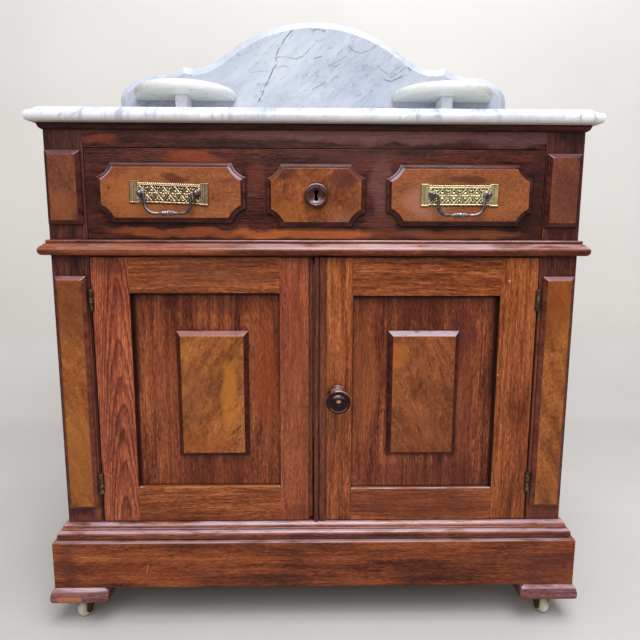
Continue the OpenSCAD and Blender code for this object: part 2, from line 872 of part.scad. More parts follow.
module bail_studs() stand() color(bronze) {
  top = stud_reach + stud_dia / 2;
  dome = arc(0, top - stud_dia / 2 + 1, stud_dia / 2, stud_dia / 2 - 1 + seat_gap, 0, 90, 8);
  for (side = [-1, 1])
    at_studs(side)
      difference() {
        union() {
          rotate_extrude()
            polygon(concat([[0, 0], [collar_r, 0], [collar_r, 0.8], [stud_dia / 2, 2]], dome));
          translate([0, 0, plate_y - drawer_front_t - nut_t - cut])
            cylinder(h = drawer_front_t + nut_t + cut - plate_y + cut, d = shank_dia);
        }
        translate([-stud_dia, 0, stud_reach])
          rotate([0, 90, 0])
            cylinder(h = 2 * stud_dia, r = bail_r + pin_gap);
      }
}

module stud_nuts() stand() color(iron) {
  for (side = [-1, 1])
    at_studs(side)
      translate([0, 0, plate_y - drawer_front_t - nut_t])
        difference() {
          translate([-nut_w / 2, -nut_w / 2, 0])
            cube([nut_w, nut_w, nut_t]);
          translate([0, 0, -cut])
            cylinder(h = nut_t + 2 * cut, d = shank_dia + 2 * pin_gap);
        }
}

plate_end = 10;
plate_cell = 18.5;

module plate_outline() {
  square([plate_l - plate_end, plate_h - 4], center = true);
  for (k = [-1, 1])
    translate([k * (plate_l - plate_end) / 2, 0])
      square([plate_end, plate_h], center = true);
}

// A border, a row of linked rings with crosses, and fluted ends
module plate_pattern() {
  inner = [plate_l - 2 * plate_end - 1, plate_h - 5];
  difference() {
    square(inner, center = true);
    square(inner - [3.4, 3.4], center = true);
  }
  for (i = [-1.5:1.5])
    translate([i * plate_cell, 0]) {
      difference() {
        circle(d = plate_cell + 1.4);
        circle(d = plate_cell - 1.4);
      }
      for (a = [45, 135])
        rotate(a)
          square([plate_cell * 0.86, 1.3], center = true);
      circle(d = 4);
    }
  for (k = [-1, 1])
    for (j = [-1:1])
      translate([k * (plate_l - plate_end) / 2 + j * 3, 0])
        square([1.5, plate_h - 3], center = true);
}

module backplate(side, tilt) {
  difference() {
    on_face(pull_x(side), -drawer_block_t, pull_top(side))
      rotate(-tilt) {
        linear_extrude(plate_t)
          plate_outline();
        linear_extrude(plate_t + plate_relief)
          intersection() {
            plate_pattern();
            plate_outline();
          }
      }
    stud_holes(side);
    at_studs(side)
      cylinder(h = plate_relief + cut, r = collar_r + seat_gap);
  }
}

module left_backplate() stand() color(brass) backplate(-1, plate_tilt);

module right_backplate() stand() color(brass) backplate(1, 0);

// The right half of a bail, with its axis at the origin
module half_bail() {
  leg = bail_drop - bail_corner;
  foot = leg_x - bail_corner;
  translate([leg_x + elbow_r, 0, 0])
    rotate([0, 90, 0])
      cylinder(h = stud_pitch / 2 + stud_dia / 2 + 0.6 - leg_x - elbow_r, r = bail_r);
  translate([leg_x + elbow_r, 0, -elbow_r])
    rotate([90, 0, 0])
      rotate([0, 0, 90])
        rotate_extrude(angle = 90)
          translate([elbow_r, 0])
            circle(r = bail_r);
  translate([leg_x, 0, -leg])
    cylinder(h = leg - elbow_r, r = bail_r);
  translate([foot, 0, -leg])
    rotate([90, 0, 0])
      rotate([0, 0, -90])
        rotate_extrude(angle = 90)
          translate([bail_corner, 0])
            circle(r = bail_r);
}

module bail(side) {
  foot = leg_x - bail_corner;
  translate([pull_x(side), bail_y, pull_top(side)]) {
    half_bail();
    mirror([1, 0, 0])
      half_bail();
    translate([-foot, 0, -bail_drop])
      rotate([0, 90, 0])
        rotate_extrude()
          polygon(concat([[0, 0], [bail_r, 0]],
            [for (t = [0:15:180]) [bail_r + (bail_bulb / 2 - bail_r) * (1 - cos(2 * t)) / 2
              * (t == 90 ? 0.8 : 1), foot * (0.25 + 1.5 * t / 180)]],
            [[bail_r, 2 * foot], [0, 2 * foot]]));
  }
}

module left_bail() stand() color(bronze) bail(-1);

module right_bail() stand() color(bronze) bail(1);

// A keyhole running back from the front of the ring to a given depth
module keyhole(depth) {
  r = key_dia / 2;
  foot = key_dia * 0.4;
  top = keyhole_z + key_h / 2 - r;
  on_face(0, depth + cut, top)
    linear_extrude(depth + 2 * cut + drawer_block_t + ring_p) {
      circle(r = r);
      translate([0, foot + r - key_h])
        circle(r = foot);
      polygon([[-r * 0.6, -r * 0.5], [r * 0.6, -r * 0.5], [foot * 0.7, foot + r - key_h],
        [-foot * 0.7, foot + r - key_h]]);
    }
}

// A turned ring with a rounded lip and a dished floor
module keyhole_ring() stand() color(walnut) {
  r = ring_dia / 2;
  lip = arc(r - 2.2, ring_p - 2.2, 2.2, 2.2, 0, 150, 8);
  floor = arc(0, ring_p, r - 4.6, ring_p - 1.6, 0, -90, 10);
  difference() {
    on_face(0, -drawer_block_t, keyhole_z)
      rotate_extrude()
        polygon(concat([[0, 0], [r - 1.2, 0], [r, 1.4]], lip, floor));
    keyhole(0);
  }
}

lock_y = drawer_front_t - lock_t / 2;
bolt_w = 16;
bolt_t = 5.6;
bolt_h = 28;
bolt_top = drawer_z[1] - 0.5;

module drawer_lock() stand() color(iron) {
  difference() {
    box([-lock_w / 2, lock_w / 2], [drawer_front_t - lock_t, drawer_front_t],
      [drawer_z[1] - lock_h, drawer_z[1]]);
    box([-bolt_w / 2 - groove_gap, bolt_w / 2 + groove_gap],
      [lock_y - bolt_t / 2 - groove_gap, lock_y + bolt_t / 2 + groove_gap],
      [bolt_top - bolt_h - seat_gap, drawer_z[1] + cut]);
    box([-key_dia, key_dia], [lock_y - bolt_t / 2, lock_y + bolt_t / 2],
      [keyhole_z - key_h / 2 - cut, keyhole_z + key_h / 2 + cut]);
    keyhole(lock_y);
  }
}

module lock_bolt() stand() color(brass) {
  box([-bolt_w / 2, bolt_w / 2], [lock_y - bolt_t / 2, lock_y + bolt_t / 2],
    [bolt_top - bolt_h, bolt_top]);
}

// ---- doors ----

door_z = [z_doors + door_gap, z_mid - door_gap];
door_panel_y = [door_panel_set, door_panel_set + door_panel_t];
door_groove_y = door_panel_y + [-groove_gap, groove_gap];
knob_neck_r = 8;
tenon_dia = 10;

// Edges of a door: side is -1 for the left door and 1 for the right
function panel_z(side) =
  let (rise = rail_rise[side < 0 ? 0 : 1])
  [door_z[0] + door_bottom_rail + rise, door_z[1] - door_top_rail + rise];
function outer_edge(side) = side * (open_x - door_gap);
function meeting_edge(side) = meeting_x + side * meeting_gap / 2;
function hinge_side(side) = outer_edge(side) - side * hinge_stile_w;
function latch_side(side) =
  meeting_edge(side) + side * (side < 0 ? left_meeting_w : right_meeting_w);

knob_x = meeting_edge(1) + knob_in;
knob_z = door_z[0] + knob_up;

module door_stiles(side) {
  hinge_edge = outer_edge(side);
  h = hinge_side(side);
  m = latch_side(side);
  difference() {
    box([h, hinge_edge], [0, door_t], door_z);
    box([h - side * cut, h + side * groove_d], door_groove_y, door_z + [-cut, cut]);
    for (z = hinge_z)
      box([hinge_edge + side * cut, hinge_edge - side * leaf_t], [-cut, leaf_w],
        [z - hinge_l / 2, z + hinge_l / 2]);
  }
  difference() {
    box([m, meeting_edge(side)], [0, door_t], door_z);
    box([m + side * cut, m - side * groove_d], door_groove_y, door_z + [-cut, cut]);
    if (side < 0)
      box([meeting_edge(side) - rebate_w, meeting_edge(side) + cut], [-cut, rebate_d],
        door_z + [-cut, cut]);
    else
      on_face(knob_x, door_t + cut, knob_z)
        cylinder(h = door_t + 2 * cut, d = tenon_dia + 2 * pin_gap);
  }
}

module door_rails(side) {
  h = hinge_side(side);
  m = latch_side(side);
  tongue = side * (groove_d - seat_gap);
  z = panel_z(side);
  difference() {
    union() {
      box([h, m], [0, door_t], [z[1], door_z[1]]);
      box([h + tongue, m - tongue], door_panel_y, [z[1], door_z[1]]);
    }
    box([h + 2 * tongue, m - 2 * tongue], door_groove_y, [z[1] - cut, z[1] + groove_d]);
  }
  difference() {
    union() {
      box([h, m], [0, door_t], [door_z[0], z[0]]);
      box([h + tongue, m - tongue], door_panel_y, [door_z[0], z[0]]);
    }
    box([h + 2 * tongue, m - 2 * tongue], door_groove_y, [z[0] - groove_d, z[0] + cut]);
  }
}

module door_panel(side) {
  into = groove_d - 2 * seat_gap;
  box([hinge_side(side) + side * into, latch_side(side) - side * into], door_panel_y,
    panel_z(side) + [-into, into]);
}

module door_block(side) {
  x = (hinge_side(side) + latch_side(side)) / 2 - side * block_shift[side < 0 ? 0 : 1];
  on_face(x, door_panel_set, (door_z[0] + door_z[1]) / 2 - door_block_drop)
    stepped(oblong(door_block_w, door_block_h), bevelled(block_bevel, door_panel_set));
}

module left_door_stiles() stand() color(walnut) door_stiles(-1);

module right_door_stiles() stand() color(walnut) door_stiles(1);

module left_door_rails() stand() color(walnut) door_rails(-1);

module right_door_rails() stand() color(walnut) door_rails(1);

module left_door_panel() stand() color(walnut) door_panel(-1);

module right_door_panel() stand() color(walnut) door_panel(1);

module left_door_block() stand() color(burl) door_block(-1);

module right_door_block() stand() color(burl) door_block(1);

// A bead, a quirk and a flat band down the right door's meeting edge
module astragal() stand() color(walnut) {
  bead = 3.4;
  band = astragal_p * 0.6;
  translate([meeting_edge(1), 0, door_z[0]])
    linear_extrude(door_z[1] - door_z[0])
      polygon(concat([[astragal_w, 0]],
        arc(astragal_w - 1.2, 1.2 - band, 1.2, 1.2, 0, -90, 3),
        [[2 * bead + 1.6, -band], [2 * bead + 1.6, -1], [2 * bead + 0.4, -1]],
        arc(bead, bead - astragal_p, bead, bead, 0, -180, 12),
        [[0, 0]]));
}

// A turned knob: a broad collar, a waisted neck, and a head with a ring and a nipple
module door_knob() stand() color(walnut) {
  r = knob_dia / 2;
  head = knob_p - 9;
  collar = knob_dia * 0.38;
  on_face(knob_x, 0, knob_z) {
    rotate_extrude()
      polygon(concat([[0, 0], [collar - 1, 0]], arc(collar - 2, 2.4, 2, 2.2, -40, 100, 8),
        bezier([[collar - 3, 5.4], [knob_neck_r, 8], [knob_neck_r - 0.5, 14], [knob_neck_r, 20]], 8),
        arc(knob_neck_r + 0.6, 22.6, 1.9, 1.9, -80, 80, 6),
        bezier([[knob_neck_r + 0.6, 25.6], [r - 4, head - 14], [r - 0.4, head - 9], [r, head - 2]], 10),
        arc(r - 2.6, head - 1, 2.6, 2.6, 5, 90, 6),
        [[r - 3.4, head + 1.6], [r - 3.8, head + 1.1]],
        arc(0, head - 3.2, r - 3.8, 7, 38, 71, 6),
        [[4.2, head + 4.4]],
        arc(0, head + 5, 4, 4, 5, 90, 6)));
    translate([0, 0, -door_t])
      cylinder(h = door_t + cut, d = tenon_dia);
  }
}

// ---- hinges ----

pin_x = open_x - door_gap / 2;
pin_y = -knuckle_dia / 2 - 0.5;
knuckle_pitch = hinge_l / knuckle_n;
knuckle_gap = 0.2;

// The knuckles of one leaf, every second one from the first given
module knuckles(first, z, grow, slack) {
  for (i = [first:2:knuckle_n - 1])
    translate([pin_x, pin_y, z - hinge_l / 2 + i * knuckle_pitch + knuckle_gap / 2 - slack])
      cylinder(h = knuckle_pitch - knuckle_gap + 2 * slack, d = knuckle_dia + 2 * grow);
}

module leaf(x, first, z) {
  difference() {
    union() {
      box(x, [pin_y, leaf_w], [z - hinge_l / 2, z + hinge_l / 2]);
      knuckles(first, z, 0, 0);
    }
    knuckles(1 - first, z, seat_gap, knuckle_gap);
  }
}

module case_hinges() stand() color(brass) {
  both_sides()
    for (z = hinge_z) {
      leaf([open_x, open_x + leaf_t], 0, z);
      translate([pin_x, pin_y, z - hinge_l / 2])
        cylinder(h = hinge_l, d = pin_dia);
    }
}

module door_hinges() {
  for (z = hinge_z)
    difference() {
      leaf([open_x - door_gap - leaf_t, open_x - door_gap], 1, z);
      translate([pin_x, pin_y, z - hinge_l / 2 - cut])
        cylinder(h = hinge_l + 2 * cut, d = pin_dia + 2 * pin_gap);
    }
}

module right_door_hinges() stand() color(brass) door_hinges();

module left_door_hinges() stand() color(brass) mirror([1, 0, 0]) door_hinges();

// ---- casters ----

web_t = 5;
boss_h = 1.6;
web_z = caster_h - caster_plate_t - boss_h - seat_gap - web_t;
axle_z = wheel_dia / 2;
arm_t = 2.6;
arm_x = wheel_w / 2 + 0.4;

// The four swivel axes: front left, front right, back left, back right
caster_at = [for (y = foot_y) for (k = [-1, 1]) [k * foot_x, y]];

module at_caster(i) {
  translate([caster_at[i].x, caster_at[i].y, 0])
    rotate(caster_turn[i])
      children();
}

module caster_plates() stand() color(brass) {
  for (i = [0:3])
    at_caster(i) {
      translate([0, 0, caster_h - caster_plate_t])
        cylinder(h = caster_plate_t, d = caster_plate_dia);
      translate([0, 0, caster_h - caster_plate_t - boss_h])
        cylinder(h = boss_h + cut, d = 2 * stem_dia);
      translate([0, 0, web_z - seat_gap])
        cylinder(h = web_t + boss_h + seat_gap, d = stem_dia);
      translate([0, 0, web_z - seat_gap - 1.6])
        cylinder(h = 1.6, d = stem_dia + 4);
    }
}

// A forked horn that trails its wheel behind the swivel
module horn(i) {
  at_caster(i) {
    difference() {
      union() {
        translate([0, 0, web_z])
          cylinder(h = web_t, d = 2 * arm_x + 2 * arm_t);
        for (k = [-1, 1])
          along_x(k < 0 ? -arm_x - arm_t : arm_x, k < 0 ? -arm_x : arm_x + arm_t)
            polygon(concat(arc(-trail, axle_z, 5, 5, 190, 340, 10),
              [[stem_dia / 2, web_z], [stem_dia / 2, web_z + web_t],
              [-trail - 4, web_z + web_t], [-trail - 5, web_z]]));
        box([-arm_x - arm_t, arm_x + arm_t], [-trail - 4, 0], [web_z, web_z + web_t]);
      }
      translate([0, 0, web_z - cut])
        cylinder(h = web_t + 2 * cut, d = stem_dia + 2 * pin_gap);
    }
    translate([-arm_x - arm_t, -trail, axle_z])
      rotate([0, 90, 0])
        cylinder(h = 2 * arm_x + 2 * arm_t, d = axle_dia);
  }
}

module wheel(i) {
  r = wheel_dia / 2;
  w = wheel_w / 2;
  at_caster(i)
    translate([0, -trail, axle_z])
      rotate([0, 90, 0])
        rotate_extrude()
          polygon(concat([[axle_dia / 2 + pin_gap, -w], [r * 0.5, -w], [r * 0.58, -w + 1]],
            arc(r * 0.62, 0, r * 0.38, w - 1, -75, 75, 14),
            [[r * 0.58, w - 1], [r * 0.5, w], [axle_dia / 2 + pin_gap, w]]));
}

module front_left_horn() stand() color(brass) horn(0);

module front_right_horn() stand() color(brass) horn(1);

module back_left_horn() stand() color(brass) horn(2);

module back_right_horn() stand() color(brass) horn(3);

module front_left_wheel() stand() color(porcelain) wheel(0);

module front_right_wheel() stand() color(porcelain) wheel(1);

module back_left_wheel() stand() color(porcelain) wheel(2);

module back_right_wheel() stand() color(porcelain) wheel(3);

marble_top();
splashback();
candle_shelves();
shelf_brackets();
front_posts();
back_posts();
side_rails();
side_panels();
back_boards();
top_rails();
middle_rails();
cupboard_floor();
drawer_runners();
door_stop();
top_moulding();
waist_moulding();
base_moulding();
plinth();
plinth_blocks();
feet();
upper_post_blocks();
lower_post_blocks();
case_hinges();
caster_plates();
drawer_front();
drawer_sides();
drawer_back();
drawer_bottom();
drawer_left_block();
drawer_key_block();
drawer_right_block();
left_backplate();
right_backplate();
bail_studs();
stud_nuts();
keyhole_ring();
drawer_lock();
lock_bolt();
left_bail();
right_bail();
left_door_stiles();
left_door_rails();
left_door_panel();
left_door_block();
left_door_hinges();
right_door_stiles();
right_door_rails();
right_door_panel();
right_door_block();
right_door_hinges();
astragal();
door_knob();
front_left_horn();
front_left_wheel();
front_right_horn();
front_right_wheel();
back_left_horn();
back_left_wheel();
back_right_horn();
back_right_wheel();
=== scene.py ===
"""Looks of the walnut washstand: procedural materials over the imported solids,
with finer brass plates and bails in place of the plain ones, and whole flat
faces on six solids whose own are faulty. Metres, in the row frame: X across
the front, +Y to the back, Z up."""

import math

import bmesh
import bpy
from mathutils import Matrix, Vector


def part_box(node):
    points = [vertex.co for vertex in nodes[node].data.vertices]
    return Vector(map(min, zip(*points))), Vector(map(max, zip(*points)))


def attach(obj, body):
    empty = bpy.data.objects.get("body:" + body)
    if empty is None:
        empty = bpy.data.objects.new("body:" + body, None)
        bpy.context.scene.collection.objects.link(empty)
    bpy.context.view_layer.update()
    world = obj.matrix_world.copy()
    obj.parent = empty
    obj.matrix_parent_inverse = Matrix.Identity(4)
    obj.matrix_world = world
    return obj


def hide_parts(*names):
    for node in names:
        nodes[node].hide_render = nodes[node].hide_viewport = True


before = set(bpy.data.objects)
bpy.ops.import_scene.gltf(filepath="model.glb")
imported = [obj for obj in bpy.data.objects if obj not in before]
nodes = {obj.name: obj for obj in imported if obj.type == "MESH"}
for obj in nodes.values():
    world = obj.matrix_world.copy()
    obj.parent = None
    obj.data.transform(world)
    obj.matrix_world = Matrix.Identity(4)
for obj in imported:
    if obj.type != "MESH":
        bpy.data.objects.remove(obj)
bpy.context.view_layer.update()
scene = bpy.context.scene

MM = 0.001
FRONT_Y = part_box("front_posts")[0].y
CASE_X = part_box("front_posts")[1].x


def linear(rgb):
    """An sRGB colour, 0 to 255, as linear light."""
    out = []
    for v in rgb:
        v = min(255, max(0, v)) / 255
        out.append(v / 12.92 if v <= 0.04045 else ((v + 0.055) / 1.055) ** 2.4)
    return (*out, 1.0)


# ---- shader graphs ----


class Field:
    """A value that varies over a surface. Plus, minus and times make math nodes."""

    def __init__(self, graph, socket):
        self.graph = graph
        self.socket = socket

    def __add__(self, other):
        return self.graph.math("ADD", self, other)

    def __radd__(self, other):
        return self.graph.math("ADD", other, self)

    def __sub__(self, other):
        return self.graph.math("SUBTRACT", self, other)

    def __rsub__(self, other):
        return self.graph.math("SUBTRACT", other, self)

    def __mul__(self, other):
        return self.graph.math("MULTIPLY", self, other)

    def __neg__(self):
        return self * -1.0


class Graph:
    """A short way to write a material's nodes."""

    def __init__(self, name):
        self.material = bpy.data.materials.new(name)
        self.material.use_nodes = True
        self.tree = self.material.node_tree
        self.tree.nodes.clear()

    def node(self, kind, inputs=None, **settings):
        node = self.tree.nodes.new(kind)
        for key, value in settings.items():
            setattr(node, key, value)
        for key, value in (inputs or {}).items():
            self.put(node.inputs[key], value)
        return node

    def add(self, kind, inputs=None, output=0, **settings):
        """The output of a new node, by number or by name."""
        return Field(self, self.node(kind, inputs, **settings).outputs[output])

    def put(self, socket, value):
        if isinstance(value, Field):
            self.tree.links.new(value.socket, socket)
        else:
            socket.default_value = value

    def math(self, operation, *values, clamp=False):
        return self.add("ShaderNodeMath", dict(enumerate(values)), operation=operation,
                        use_clamp=clamp)

    def swing(self, value, amount):
        """How far a 0 to 1 field lies from its middle, times the amount."""
        return self.math("MULTIPLY_ADD", value, amount, -0.5 * amount)

    def vector(self, operation, *values):
        name = "Value" if operation in ("DOT_PRODUCT", "DISTANCE") else "Vector"
        return self.add("ShaderNodeVectorMath", dict(enumerate(values)), name,
                        operation=operation)

    def place(self):
        return self.add("ShaderNodeTexCoord", output="Object")

    def split(self, vector):
        parts = self.node("ShaderNodeSeparateXYZ", {0: vector}).outputs
        return [Field(self, part) for part in parts]

    def join(self, x, y, z):
        return self.add("ShaderNodeCombineXYZ", {0: x, 1: y, 2: z})

    def scaled(self, vector, factors, offset=(0, 0, 0), turn=(0, 0, 0)):
        return self.add("ShaderNodeMapping", {"Vector": vector, "Scale": factors,
                                              "Location": offset, "Rotation": turn})

    def noise(self, vector, scale, detail=4, rough=0.6, distortion=0.0):
        return self.add("ShaderNodeTexNoise", {"Vector": vector, "Scale": scale, "Detail": detail,
                                               "Roughness": rough, "Distortion": distortion},
                        "Fac")

    def fibre(self, vector, factors, detail=4, rough=0.6, offset=(0, 0, 0), distortion=0.0):
        """Noise that repeats this often to the metre: along and across, or on each axis."""
        if len(factors) == 2:
            factors = (*factors, factors[1])
        return self.noise(self.scaled(vector, factors, offset), 1.0, detail, rough, distortion)

    def warp(self, vector, scale, amount, detail=3.0):
        """The vector pushed about by a soft three-way noise."""
        colour = self.add("ShaderNodeTexNoise", {"Vector": vector, "Scale": scale,
                                                 "Detail": detail}, "Color")
        push = self.vector("MULTIPLY", self.vector("SUBTRACT", colour, (0.5, 0.5, 0.5)),
                           (amount, amount, amount))
        return self.vector("ADD", vector, push)

    def ramp(self, value, stops):
        node = self.node("ShaderNodeValToRGB", {"Fac": value})
        elements = node.color_ramp.elements
        while len(elements) < len(stops):
            elements.new(0.5)
        for element, (at, rgb) in zip(elements, stops):
            element.position = at
            element.color = linear(rgb)
        return Field(self, node.outputs["Color"])

    def steps(self, value, low, high):
        """0 below low, 1 above high, smooth between."""
        return self.add("ShaderNodeMapRange", {"Value": value, "From Min": low,
                                               "From Max": high},
                        interpolation_type="SMOOTHSTEP")

    def fall(self, value, low, high):
        """1 below low, 0 above high, smooth between."""
        return 1.0 - self.steps(value, low, high)

    def mix(self, fac, a, b, blend="MIX"):
        return self.add("ShaderNodeMix", {"Factor": fac, 6: a, 7: b}, 2, data_type="RGBA",
                        blend_type=blend)

    def tint(self, colour, fac, rgb):
        """The colour, mixed with an sRGB one."""
        return self.mix(fac, colour, linear(rgb))

    def bump(self, height, strength, distance):
        return self.add("ShaderNodeBump", {"Height": height, "Strength": strength,
                                           "Distance": distance})

    def crevice(self, distance, low=0.3):
        """1 deep in a crevice, 0 in the open."""
        open_share = self.add("ShaderNodeAmbientOcclusion", {"Distance": distance}, "AO",
                              samples=6)
        return self.fall(open_share, low, 0.95)

    def edge(self, radius):
        """1 on a sharp outer edge, 0 on a flat face."""
        soft = self.add("ShaderNodeBevel", {"Radius": radius}, samples=4)
        flat = self.add("ShaderNodeNewGeometry", output="True Normal")
        return self.steps(1.0 - self.vector("DOT_PRODUCT", soft, flat), 0.01, 0.12)

    def facing(self):
        """The surface's own direction, as x, y and z."""
        return self.split(self.add("ShaderNodeNewGeometry", output="True Normal"))

    def spot(self, centre, radius):
        """1 inside a small ball, 0 outside."""
        away = self.vector("DISTANCE", self.place(), centre)
        return self.fall(away, radius * 0.5, radius)

    def finish(self, **inputs):
        shader = self.add("ShaderNodeBsdfPrincipled",
                          {key.replace("_", " "): value for key, value in inputs.items()})
        self.node("ShaderNodeOutputMaterial", {0: shader})
        return self.material


def grain_space(g, axis, seed):
    """Coordinates whose X runs along the grain, moved about by the seed."""
    x, y, z = g.split(g.place())
    if axis == "ring":
        # a moulding round the front and the sides: the side runs' grain follows Y
        out = g.math("ABSOLUTE", x) - CASE_X
        past_corner = g.math("GREATER_THAN", out, FRONT_Y - y)
        on_side = past_corner * g.math("GREATER_THAN", out, -20 * MM)
        along = g.add("ShaderNodeMix", {0: on_side, 2: x, 3: y}, data_type="FLOAT")
        across = g.add("ShaderNodeMix", {0: on_side, 2: y, 3: x}, data_type="FLOAT")
        vector = g.join(along, across, z)
    else:
        vector = g.join(*{"X": (x, y, z), "Y": (y, x, z), "Z": (z, x, y)}[axis])
    return g.vector("ADD", vector, (seed * 1.37 % 7, seed * 2.11 % 5, seed * 0.73 % 3))


def patches(g, colour, places, grain):
    """Soft coloured areas of the front: (x, z) and half sizes in mm, colour, strength."""
    if not places:
        return colour
    x, _, z = g.split(g.warp(g.place(), 22, 30 * MM, 4))
    for at_x, at_z, half_x, half_z, tone, strength in places:
        off_x = g.math("MULTIPLY_ADD", x, 1000 / half_x, -at_x / half_x)
        off_z = g.math("MULTIPLY_ADD", z, 1000 / half_z, -at_z / half_z)
        away = off_x * off_x + off_z * off_z
        inside = g.fall(away, 0.15, 1.1) * (0.55 + grain * 0.8) * strength
        colour = g.tint(colour, g.math("MINIMUM", inside, 1.0), tone)
    return colour


def polyline(g, at, points, width, fade):
    """1 along a given line across the front, 0 beyond its width, all in mm. At is
    a flat (x, z, 0) place, and fade is the share of the width that is full."""
    best = None
    points = [(x * MM, z * MM) for x, z in points]
    for a, b in zip(points, points[1:]):
        run = (b[0] - a[0], b[1] - a[1], 0.0)
        to_point = g.vector("SUBTRACT", at, (a[0], a[1], 0.0))
        share = g.math("DIVIDE", g.vector("DOT_PRODUCT", to_point, run),
                       run[0] ** 2 + run[1] ** 2, clamp=True)
        foot = g.add("ShaderNodeVectorMath", {0: run, "Scale": share}, operation="SCALE")
        away = g.vector("DISTANCE", to_point, foot)
        best = away if best is None else g.math("MINIMUM", best, away)
    return g.fall(best, width * MM * fade, width * MM)


CREVICE = 6 * MM
ARRIS = 0.9 * MM
# Where each of a wood's four tones lies in its figure
TONE_STOPS = (0.24, 0.42, 0.56, 0.78)
PORE = (52, 18, 8)
# old polish and painted shade in the crevices
POLISH_AND_SHADE = (24, 6, 5)
# rubbed arrises: pale by use, and a painted highlight
RUBBED_WALNUT_AND_HIGHLIGHT = (190, 124, 90)
RUBBED_BURL_AND_HIGHLIGHT = (214, 146, 116)
SHADED_SIDE = (36, 13, 9)
WISP = (66, 30, 18)
KNOT = (66, 30, 16)


def walnut(name, axis, seed, tones, contrast=1.0, patch=0.45, band=0.65, streak=0.5, fleck=0.5,
           pores=0.8, wave=0.005, rings=None, arches=None, places=(), rough=0.32, wear_and_highlight=0.3,
           specks=(), strokes=(), dust_and_sheen=None, sides=0.0, gloss=0.5, relief=0.3, front=None,
           bare_left=0.0):
    """Old polished walnut. Tones run from deep to light. Patch, band, streak and fleck
    are the strengths of its figure, from broad to fine, and wave is how far it bends, in
    metres. Rings are wavy dark lines along the grain: how many to the metre, and how
    strong. Arches are nested parabolas of the growth rings: centre across the grain,
    bend, number to the metre and depth. Strokes are straight soft bands, in mm: painted
    shade and shadow in gaps and recesses, and chips and dark lines of the wood.
    Dust_and_sheen is the pale tint on what faces up, partly dusty wax and partly a painted
    sheen: tone, strength and how many mm behind the case's front it ends. Bare_left is the
    share of it that is missing at the left end. Sides is how dark the painted shade on the
    faces that look sideways is, and front is the tone of a turned piece's face."""
    g = Graph(name)
    p = grain_space(g, axis, seed)
    x, y, z = g.split(g.place())
    wavy = g.fibre(p, (7, 20), 2, 0.5)
    lean = g.fibre(p, (2.2, 4), 1, 0.5, (3.3, 1.2, 0.4))
    shift = g.swing(wavy, wave) + g.swing(lean, wave * 3)
    w = g.vector("ADD", p, g.join(0.0, shift, shift))
    broad = g.fibre(p, (6, 20), distortion=0.6)
    bands = g.fibre(w, (3, 75))
    streaks = g.fibre(w, (20, 400), 4, 0.65)
    flecks = g.fibre(w, (120, 900), 2)
    value = (0.5 + g.swing(broad, patch) + g.swing(bands, band) + g.swing(streaks, streak)
             + g.swing(flecks, fleck))
    if rings:
        pitch, depth = rings
        _, across, up = g.split(w)
        curl = g.fibre(p, (9, 24), 3, 0.55, (0.2, 2.2, 0.7), 0.3)
        saw = g.math("FRACT", (across + up) * pitch + curl * (pitch * 0.020))
        late = g.steps(saw, 0.35, 0.92) * g.fall(saw, 0.92, 1.0) * g.steps(bands, 0.30, 0.55)
        value = value - late * depth * (0.5 + streaks)
    if arches:
        centre, bend, pitch, depth = arches
        off = x - centre
        saw = g.math("FRACT", z * pitch + off * off * bend + g.swing(wavy, 1.6)
                     + g.swing(broad, 2.0))
        late = g.steps(saw, 0.2, 0.9) * g.fall(saw, 0.9, 1.0)
        value = value - (late - 0.3) * depth * (0.5 + streaks)
    value = 0.5 + (value - 0.5) * contrast
    colour = g.ramp(value, list(zip(TONE_STOPS, tones)))
    colour = patches(g, colour, places, streaks)
    fine = 0.5 + g.swing(streaks, 0.40) + g.swing(flecks, 0.45)
    colour = g.mix(0.85, colour, g.join(fine, fine, fine), blend="OVERLAY")
    # open pores: short dark dashes along the grain
    dash = g.fibre(w, (120, 820), 1, 0.5, (0.6, 0.1, 0.8))
    dash = g.steps(dash, 0.56, 0.66) * g.steps(streaks, 0.38, 0.58)
    colour = g.tint(colour, dash * (0.7 * pores), PORE)
    # old polish and painted shade darken the crevices, and the edges are rubbed pale, partly by
    # use and partly as a painted highlight
    colour = g.tint(colour, g.crevice(CREVICE) * 0.8, POLISH_AND_SHADE)
    rub_and_highlight = g.edge(ARRIS) * g.steps(streaks, 0.40, 0.62)
    colour = g.tint(colour, rub_and_highlight * wear_and_highlight, RUBBED_WALNUT_AND_HIGHLIGHT)
    if sides:
        sideways = g.steps(g.math("ABSOLUTE", g.facing()[0]), 0.5, 0.9)
        colour = g.tint(colour, sideways * sides, SHADED_SIDE)
    if front:
        face = g.steps(-g.facing()[1], 0.62, 0.85)
        colour = g.tint(colour, face * 0.9, front)
    # listed bands: painted shade and shadow in gaps and recesses, and chips and dark lines of the
    # wood
    for points, width, tone, strength in strokes:
        on = polyline(g, g.join(x, z, 0.0), points, width, 0.45)
        colour = g.tint(colour, on * strength, tone)
    # a dusty tint and a painted sheen on what faces up, less of it at the left end by the share
    # bare_left
    if dust_and_sheen:
        tone, strength, depth = dust_and_sheen
        sheen_patches = g.fibre(p, (16, 90))
        near = g.fall(y, FRONT_Y + depth * MM, FRONT_Y + (depth + 2) * MM)
        up = g.steps(g.facing()[2], 0.15, 0.75) * g.steps(sheen_patches, 0.30, 0.58) * near * strength
        if bare_left:
            up = up * (1.0 - g.fall(x, -300 * MM, 120 * MM) * bare_left)
        colour = g.tint(colour, up, tone)
    for centre, radius, tone in specks:
        colour = g.tint(colour, g.spot(centre, radius * MM), tone)
    smear = g.fibre(p, (10, 26))
    roughness = rough + g.swing(smear, 0.22) + g.swing(flecks, 0.12)
    height = streaks * 0.5 + flecks * 0.3 + dash * -0.6
    return g.finish(Base_Color=colour, Roughness=roughness,
                    Normal=g.bump(height, relief, 0.4 * MM),
                    Specular_IOR_Level=0.4, Coat_Weight=gloss, Coat_Roughness=0.14)


